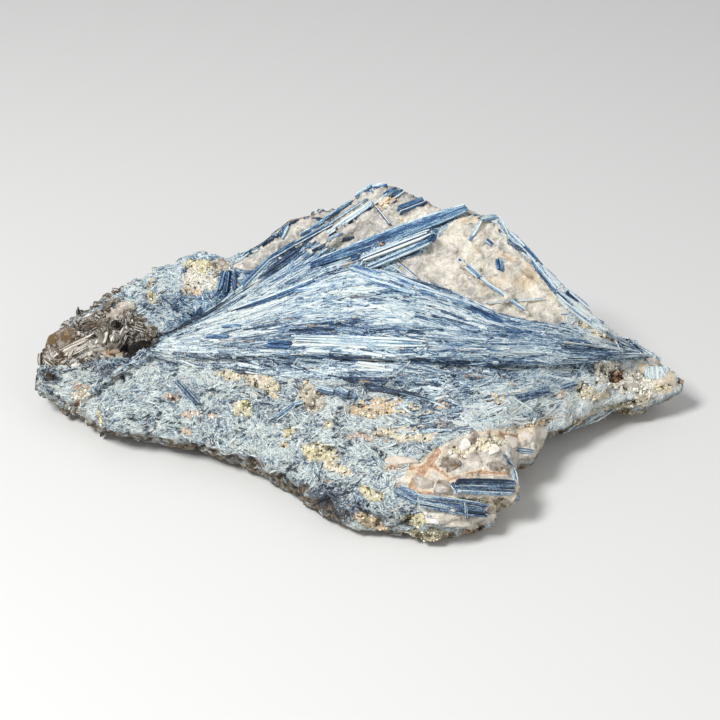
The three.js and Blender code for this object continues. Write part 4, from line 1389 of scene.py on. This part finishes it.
class KYANITE_OT_needles(bpy.types.Operator):
    """Lay the matted needles of the front, the hollow and the back"""

    bl_idname = "kyanite.needles"
    bl_label = "Needles"

    def execute(self, context):
        k = context.scene.kyanite_settings
        ground = made["ground"]
        f = ground.fields
        centres = ground.centres
        bare = smooth(0.3, -0.6, f["quartz"]) * smooth(1, -1, f["mica"])
        bare = bare * np.maximum(smooth(0.4, -0.5, f["patch"]), 0.1)
        up = smooth(-0.3, 0.0, ground.normals[:, 2])
        fronts = f["fronts"] * bare * (1 - f["spray"] * 0.95) * up + f["fronts"] * 0.004
        # Fewer needles where seams and cracks are painted dark as shade, so that the painted shade shows.
        dark = np.maximum(f["seam"], smooth(0.2, 0.6, f["gap"]))
        fronts = fronts * (1 - 0.93 * dark) * (1 - 0.9 * f["dirt_and_shade"])
        facing = smooth(0.1, 0.5, ground.normals @ OUT)
        backs = (1 - f["fronts"]) * (bare + 0.03) * smooth(-0.75, -0.4, ground.normals[:, 2])
        backs = backs * smooth(0.3, 3.0, centres[:, 2]) * smooth(-30, -8, centres[:, 1])
        x, t = MEETING
        towards = unit((x - centres[:, :1]) * ALONG + (t - centres @ UP)[:, None] * 0.6 * UP)
        across = np.tile(unit(np.array([0.9, 0.0, 0.35])), (len(centres), 1))
        # name, count, weights, lean and palest tone
        # lengths, widths, size of a sheaf, swirl, spread, how far sunk and stations
        sets = [
            (
                "front_needles", k.needle_count, fronts, towards, WHITEST,
                (0.8, 4.4), (0.22, 0.8), 8.0, 1.7, 0.42, 0.35, 2,
            ),
            (
                "front_blades", k.needle_count // 13, fronts * facing, towards, 0.62,
                (2.0, 7.0), (0.4, 1.2), 9.0, 0.8, 0.3, 0.6, 3,
            ),
            (
                "back_blades", k.back_count, backs, across, 0.62,
                (5.0, 28.0), (0.5, 2.2), 26.0, 1.6, 0.16, 0.5, 3,
            ),
        ]
        for number, (name, count, weights, lean, palest, *laying) in enumerate(sets):
            rng = np.random.default_rng(22 + number)
            share = ground.areas * weights
            chosen = rng.choice(len(share), count, p=share / share.sum())
            routes, normals, wide = scattered(rng, chosen, lean[chosen], *laying)
            lot = rng.uniform(0, 1, count)
            white = lot >= 0.62
            tones = np.select([lot < 0.17, white], [0.08, 0.82], 0.55) + rng.normal(0, 0.1, count)
            tones = tones + f["tone"][chosen] + 0.2 * noise(centres[chosen] * (0.6, 1, 1), 6.0, 3, 5) - 0.04
            thick = wide * rng.uniform(0.4, 0.9, count)
            stains = (rng.uniform(0, 1, count) < 0.1) * 0.7
            fading = f["faded"][chosen] * np.where(white, 1.15, 0.75)
            piece = bars(
                name, routes, normals, wide, thick, np.minimum(tones, palest), stains, fading,
                roll=rng.normal(0, 0.45, count), taper=0.35, seed=30 + number,
            )
            finish_piece(piece, shared(crystal_material))
        return {"FINISHED"}


def bundles(entries, rng):
    """Strips for crystals that stand out: their routes, facings, widths, tones, thicknesses and t."""
    ground = made["ground"]
    stations = 7
    run = np.linspace(0, 1, stations)[:, None]
    routes, facings, widths, tones, sizes = [], [], [], [], []
    for start, end, lift, strips in entries:
        start, end = np.array(start, float), np.array(end, float)
        line = start + (end - start) * run
        points, normals, depths = ground.drop(line)
        found = np.isfinite(depths)
        if found.sum() < 2:
            continue
        heights = points @ OUT
        limit = 0.6 * np.linalg.norm(end - start)
        slope = np.clip(np.polyfit(run[found, 0], heights[found], 1)[0], -limit, limit)
        level = np.percentile(heights[found] - slope * run[found, 0], 50 if lift < 1 else 75)
        facing = unit(normals[found].mean(axis=0) + 0.8 * OUT)
        ends = line[:, :1] * ALONG + line[:, 1:] * UP + (level + slope * run) * OUT
        along = unit(ends[-1] - ends[0])
        across = unit(np.cross(along, facing))
        facing = np.cross(across, along)
        across = across if across @ UP > 0 else -across
        facing = facing if facing @ OUT > 0 else -facing
        length = np.linalg.norm(ends[-1] - ends[0])
        narrow = 1 - (0.45 * smooth(0.45, 0.0, run) + 0.4 * smooth(0.8, 1.0, run)) * smooth(15, 40, length)
        narrow *= 1 - 0.25 * smooth(13, 8, length) * smooth(3, 7, length) * np.abs(2 * run - 1) ** 3
        middle = ends[0] + along * length * run
        away = middle - ground.settle(middle)
        over = np.linalg.norm(away, axis=1, keepdims=True)
        held = -(away @ facing)[:, None] * np.clip((over - lift - 0.8) / np.maximum(over, 1e-9), 0, 1)
        held[1:-1] = 0.25 * held[:-2] + 0.5 * held[1:-1] + 0.25 * held[2:]
        place = sum(strip[0] for strip in strips) / 2
        for wide, tone, *far_tone in strips:
            place -= wide / 2
            early, late = rng.uniform(-0.03, 0.11, 2) * min(length, 14)
            path = ends[0] + along * (early + (length - early - late) * run)
            raised = held + lift * 0.45 + rng.uniform(-0.25, 0.25)
            routes.append(path + across * place * narrow + facing * raised)
            facings.append(np.tile(facing, (stations, 1)))
            widths.append(wide * 1.2 * narrow[:, 0])
            tones.append(tone + (far_tone[0] - tone if far_tone else 0) * run[:, 0])
            sizes.append((lift + 1.6, line[stations // 2, 1]))
            place -= wide / 2
    return np.array(routes), np.array(facings), np.array(widths), np.array(tones), *np.array(sizes).T


class KYANITE_OT_blades(bpy.types.Operator):
    """Lay the crystals that stand out, each as a bundle of strips with broken ends"""

    bl_idname = "kyanite.blades"
    bl_label = "Long blades"

    def execute(self, context):
        rng = np.random.default_rng(41)
        routes, facings, widths, tones, thicks, high = bundles(BLADES, rng)
        count = len(tones)
        stains = np.clip(tones[:, 0] - 1, 0, 1) * 3
        tones = np.minimum(tones, 1.0) + rng.normal(0, 0.03, (count, 1))
        piece = bars(
            "long_blades", routes, facings, widths, thicks, tones, stains, 0.4 * smooth(31, 24, high),
            roll=rng.normal(0, 0.1, count), taper=0.75, streaks=0.75, seed=42,
        )
        finish_piece(piece, shared(crystal_material))
        return {"FINISHED"}


# ---- grains and flakes ---------------------------------------------------------------------------


def lumps(name, centres, frames, sizes, tones, rng, planes=13, subdivisions=2):
    """One mesh of many broken grains, each a ball cut by flat faces."""
    clear_selection()
    bpy.ops.mesh.primitive_ico_sphere_add(subdivisions=subdivisions, radius=1.0)
    ball = bpy.context.active_object
    directions = np.array([tuple(v.co) for v in ball.data.vertices])
    triangles = np.array([tuple(p.vertices) for p in ball.data.polygons])
    bpy.ops.object.delete()
    count, corners = len(centres), len(directions)
    normals = unit(rng.normal(size=(count, planes, 3)))
    distances = rng.uniform(0.6, 0.95, (count, planes))
    towards = np.einsum("vk,cpk->cvp", directions, normals)
    reach = np.where(towards > 0.15, distances[:, None] / np.maximum(towards, 0.15), 1.25).min(axis=2)
    local = directions[None] * np.minimum(reach, 1.2)[..., None] * sizes[:, None]
    points = centres[:, None] + np.einsum("cvk,ckj->cvj", local, frames)
    faces = (triangles[None] + (np.arange(count) * corners)[:, None, None]).reshape(-1, 3)
    mesh = bpy.data.meshes.new(name)
    mesh.from_pydata(boxed(points.reshape(-1, 3)) * MM, [], faces.tolist())
    put(mesh, "tone", np.repeat(tones, corners))
    return new_object(name, mesh)


def frames_about(normals, rng, turns=None):
    """Axes for things lying on a surface: along it, across it, and out of it."""
    helper = np.where(np.abs(normals[:, :1]) < 0.8, ALONG, UP)
    along = unit(helper - (helper * normals).sum(axis=1, keepdims=True) * normals)
    across = np.cross(normals, along)
    turns = rng.uniform(0, math.pi, len(normals)) if turns is None else turns
    c, s = np.cos(turns)[:, None], np.sin(turns)[:, None]
    return np.stack([along * c + across * s, across * c - along * s, normals], axis=1)


class KYANITE_OT_grains(bpy.types.Operator):
    """Set clear lumps of quartz, sugary grains and the brown crystals of the hole"""

    bl_idname = "kyanite.grains"
    bl_label = "Grains"

    def execute(self, context):
        r = context.scene.rock_settings
        ground = made["ground"]
        f = ground.fields
        rng = np.random.default_rng(51)
        data = np.array(LUMPS, float)
        points, normals, _ = ground.drop(data[:, :2])
        facing = unit(normals + OUT)
        sizes = np.stack([data[:, 2], data[:, 3], np.full(len(data), 1.35)], axis=1) * 1.15
        piece = lumps(
            "quartz_lumps", points - facing * 0.75, frames_about(facing, rng, np.radians(data[:, 4])), sizes,
            data[:, 5], rng, planes=16, subdivisions=4,
        )
        finish_piece(piece, quartz_material())

        granular = smooth(-0.2, 0.6, f["patch"]) + 0.012 * smooth(0, 1, f["quartz"])
        share = ground.areas * granular * f["fronts"]
        share = share + ground.areas * 0.4 * smooth(0, 1, f["patch"]) * (1 - f["fronts"])
        share = share * smooth(1.0, 3.0, ground.centres[:, 2]) * (1 - 0.95 * f["hole"])
        count = r.grain_count
        chosen = rng.choice(len(share), count, p=share / share.sum())
        normals = ground.normals[chosen]
        size = rng.uniform(0, 1, (count, 1)) ** 3 * 0.5 + 0.2
        axes = frames_about(normals, rng)
        sizes = size * rng.uniform(0.7, 1.2, (count, 3))
        tones = rng.uniform(0, 1, count) ** 1.5
        piece = lumps(
            "sugary_grains", ground.centres[chosen] - normals * 0.12, axes, sizes, tones, rng, planes=5,
            subdivisions=1,
        )
        corners = len(piece.data.vertices) // count
        put(piece.data, "patch_colour", np.repeat(f["patch_colour"][chosen], corners, axis=0), "FLOAT_COLOR")
        finish_piece(piece, granule_material())

        x, t, radius, _ = PITS[0]
        count = r.brown_count
        points, normals, _ = ground.drop(np.array([x, t]) + rng.normal(0, radius * 0.42, (count, 2)))
        aim = unit(normals + rng.normal(0, 0.7, normals.shape))
        length = rng.uniform(1.0, 2.6, (count, 1))
        routes = np.stack([points - aim * 0.4, points + aim * length * 0.5, points + aim * length], axis=1)
        facings = np.repeat(np.cross(aim, UP)[:, None], 3, axis=1)
        widths = rng.uniform(0.4, 1.0, count)
        thicks = rng.uniform(0.4, 0.9, count)
        tones = rng.uniform(0, 1, count) ** 1.6
        piece = bars(
            "brown_crystals", routes, facings, widths, thicks, tones, np.zeros(count), 0.0, taper=0.3, seed=52
        )
        finish_piece(piece, brown_material())
        return {"FINISHED"}


class KYANITE_OT_mica(bpy.types.Operator):
    """Set the books of mica sheets at the left-hand end and a few on the back"""

    bl_idname = "kyanite.mica"
    bl_label = "Mica"

    def execute(self, context):
        ground = made["ground"]
        f = ground.fields
        rng = np.random.default_rng(61)
        books, sheets = context.scene.rock_settings.book_count, 5
        share = ground.areas * smooth(-1.5, 1.5, f["mica"]) * (0.35 + 0.65 * f["fronts"])
        share = share * smooth(2.0, 6.0, ground.centres[:, 2]) * smooth(-127, -123, ground.centres[:, 0])
        share = share * (smooth(0.2, 0.55, ground.normals @ OUT) + (1 - f["fronts"]))
        chosen = rng.choice(len(share), books, p=share / share.sum())
        centre, normal = ground.centres[chosen], ground.normals[chosen]
        lean = np.radians(rng.normal(30, 28, books))
        edge = -np.sin(lean)[:, None] * ALONG + np.cos(lean)[:, None] * UP
        facing = unit(normal * rng.uniform(0.15, 1.2, (books, 1)) + edge * rng.uniform(-1, 1.2, (books, 1)))
        frame_axes = frames_about(facing, rng)
        corners = 8
        angles = np.linspace(0, 2 * math.pi, corners, endpoint=False)
        angles = angles + rng.uniform(-0.3, 0.3, (books, 1, corners))
        radii = rng.uniform(1.0, 2.8, (books, 1, 1)) * rng.uniform(0.55, 1.1, (books, sheets, corners))
        radii *= (0.5 + 0.5 * f["fronts"][chosen])[:, None, None]
        stack = np.arange(sheets)[None, :, None] * rng.uniform(0.32, 0.55, (books, 1, 1))
        shift = rng.normal(0, 0.7, (books, sheets, 2))
        flat_a = radii * np.cos(angles) + shift[..., :1]
        flat_b = radii * 0.75 * np.sin(angles) + shift[..., 1:]
        thick, sunk = 0.3, 1.6
        rings = []
        for side in (0.0, thick):
            high = stack + side + 0 * flat_a
            local = np.stack([flat_a, flat_b, high - sunk], axis=-1)
            rings.append(np.einsum("bskj,bji->bski", local, frame_axes) + centre[:, None, None])
        points = np.stack(rings, axis=2).reshape(-1, 3)
        base = np.arange(books * sheets)[:, None] * corners * 2
        loop = np.arange(corners)
        sides = np.stack([loop, (loop + 1) % corners, (loop + 1) % corners + corners, loop + corners], -1)
        faces = (base[..., None] + sides).reshape(-1, 4).tolist()
        faces += (base + loop[::-1]).tolist() + (base + corners + loop).tolist()
        mesh = bpy.data.meshes.new("mica_books")
        mesh.from_pydata(boxed(points) * MM, [], faces)
        tone = rng.normal(0.6, 0.24, (books, 1)) + rng.normal(0, 0.12, (books, sheets))
        tone = np.clip(tone + f["tone"][chosen][:, None], 0, 1)
        put(mesh, "tone", np.repeat(tone.ravel(), corners * 2))
        finish_piece(new_object("mica_books", mesh), shared(mica_material))

        routes, facings, widths, tones, thicks, _ = bundles(SHARDS, rng)
        count = len(tones)
        tones = tones + rng.normal(0, 0.05, (count, 1))
        shards = bars(
            "mica_shards", routes, facings, widths, thicks, tones, np.zeros(count), 0.0,
            roll=rng.normal(0, 0.5, count), taper=0.3, seed=62,
        )
        finish_piece(shards, shared(mica_material))
        return {"FINISHED"}


# ---- the stage -----------------------------------------------------------------------------------


class KYANITE_OT_stage(bpy.types.Operator):
    """Add the floor, the lamps and the camera"""

    bl_idname = "kyanite.stage"
    bl_label = "Stage"

    def execute(self, context):
        st = context.scene.stage_settings
        clear_selection()
        bpy.ops.mesh.primitive_plane_add(size=6.0, location=(0, 0, 0))
        floor = context.active_object
        floor.name = "floor"
        s = Shader("floor")
        s.surface.inputs["Base Color"].default_value = (*st.floor, 1)
        s.surface.inputs["Roughness"].default_value = 0.8
        floor.data.materials.append(s.material)

        middle = Vector((0, 0, 37 * MM))
        lamps = [
            ("key", (-0.5, -0.45, 0.95), 0.28, st.key),
            ("fill", (0.8, -0.7, 0.6), 0.8, st.fill),
        ]
        for name, place, size, power in lamps:
            bpy.ops.object.light_add(type="AREA", location=place)
            lamp = context.active_object
            lamp.name = name
            lamp.data.shape = "SQUARE"
            lamp.data.size = size
            lamp.data.energy = power
            lamp.rotation_euler = (middle - lamp.location).to_track_quat("-Z", "Y").to_euler()
        world = bpy.data.worlds.new("sky")
        world.use_nodes = True
        world.node_tree.nodes["Background"].inputs["Color"].default_value = (0.97, 0.985, 1.0, 1)
        world.node_tree.nodes["Background"].inputs["Strength"].default_value = st.sky
        context.scene.world = world
        context.scene.view_settings.view_transform = "Standard"

        bpy.ops.object.camera_add(location=middle + Vector(OUT) * st.distance)
        camera = context.active_object
        camera.rotation_euler = (middle - camera.location).to_track_quat("-Z", "Y").to_euler()
        camera.data.lens = 85
        camera.data.sensor_width = 36
        camera.data.clip_start = 0.01
        context.scene.camera = camera
        return {"FINISHED"}


class KYANITE_PT_panel(bpy.types.Panel):
    """Lists the pieces of the specimen"""

    bl_label = "Kyanite specimen"
    bl_idname = "KYANITE_PT_panel"
    bl_space_type = "VIEW_3D"
    bl_region_type = "UI"
    bl_category = "Kyanite"

    def draw(self, context):
        for operator in OPERATORS:
            self.layout.operator(operator.bl_idname)


SETTINGS = {
    "rock_settings": RockSettings, "kyanite_settings": KyaniteSettings, "stage_settings": StageSettings,
}
OPERATORS = [
    KYANITE_OT_stage, KYANITE_OT_rock, KYANITE_OT_spray, KYANITE_OT_needles, KYANITE_OT_blades,
    KYANITE_OT_grains, KYANITE_OT_mica,
]


def register():
    for name, group in SETTINGS.items():
        bpy.utils.register_class(group)
        setattr(bpy.types.Scene, name, bpy.props.PointerProperty(type=group))
    for cls in [*OPERATORS, KYANITE_PT_panel]:
        bpy.utils.register_class(cls)


def unregister():
    for cls in [KYANITE_PT_panel, *reversed(OPERATORS)]:
        bpy.utils.unregister_class(cls)
    for name, group in SETTINGS.items():
        delattr(bpy.types.Scene, name)
        bpy.utils.unregister_class(group)


def main():
    register()
    bpy.ops.kyanite.stage()
    bpy.ops.kyanite.rock()
    bpy.ops.kyanite.spray()
    bpy.ops.kyanite.needles()
    bpy.ops.kyanite.blades()
    bpy.ops.kyanite.grains()
    bpy.ops.kyanite.mica()


if __name__ == "__main__":
    main()
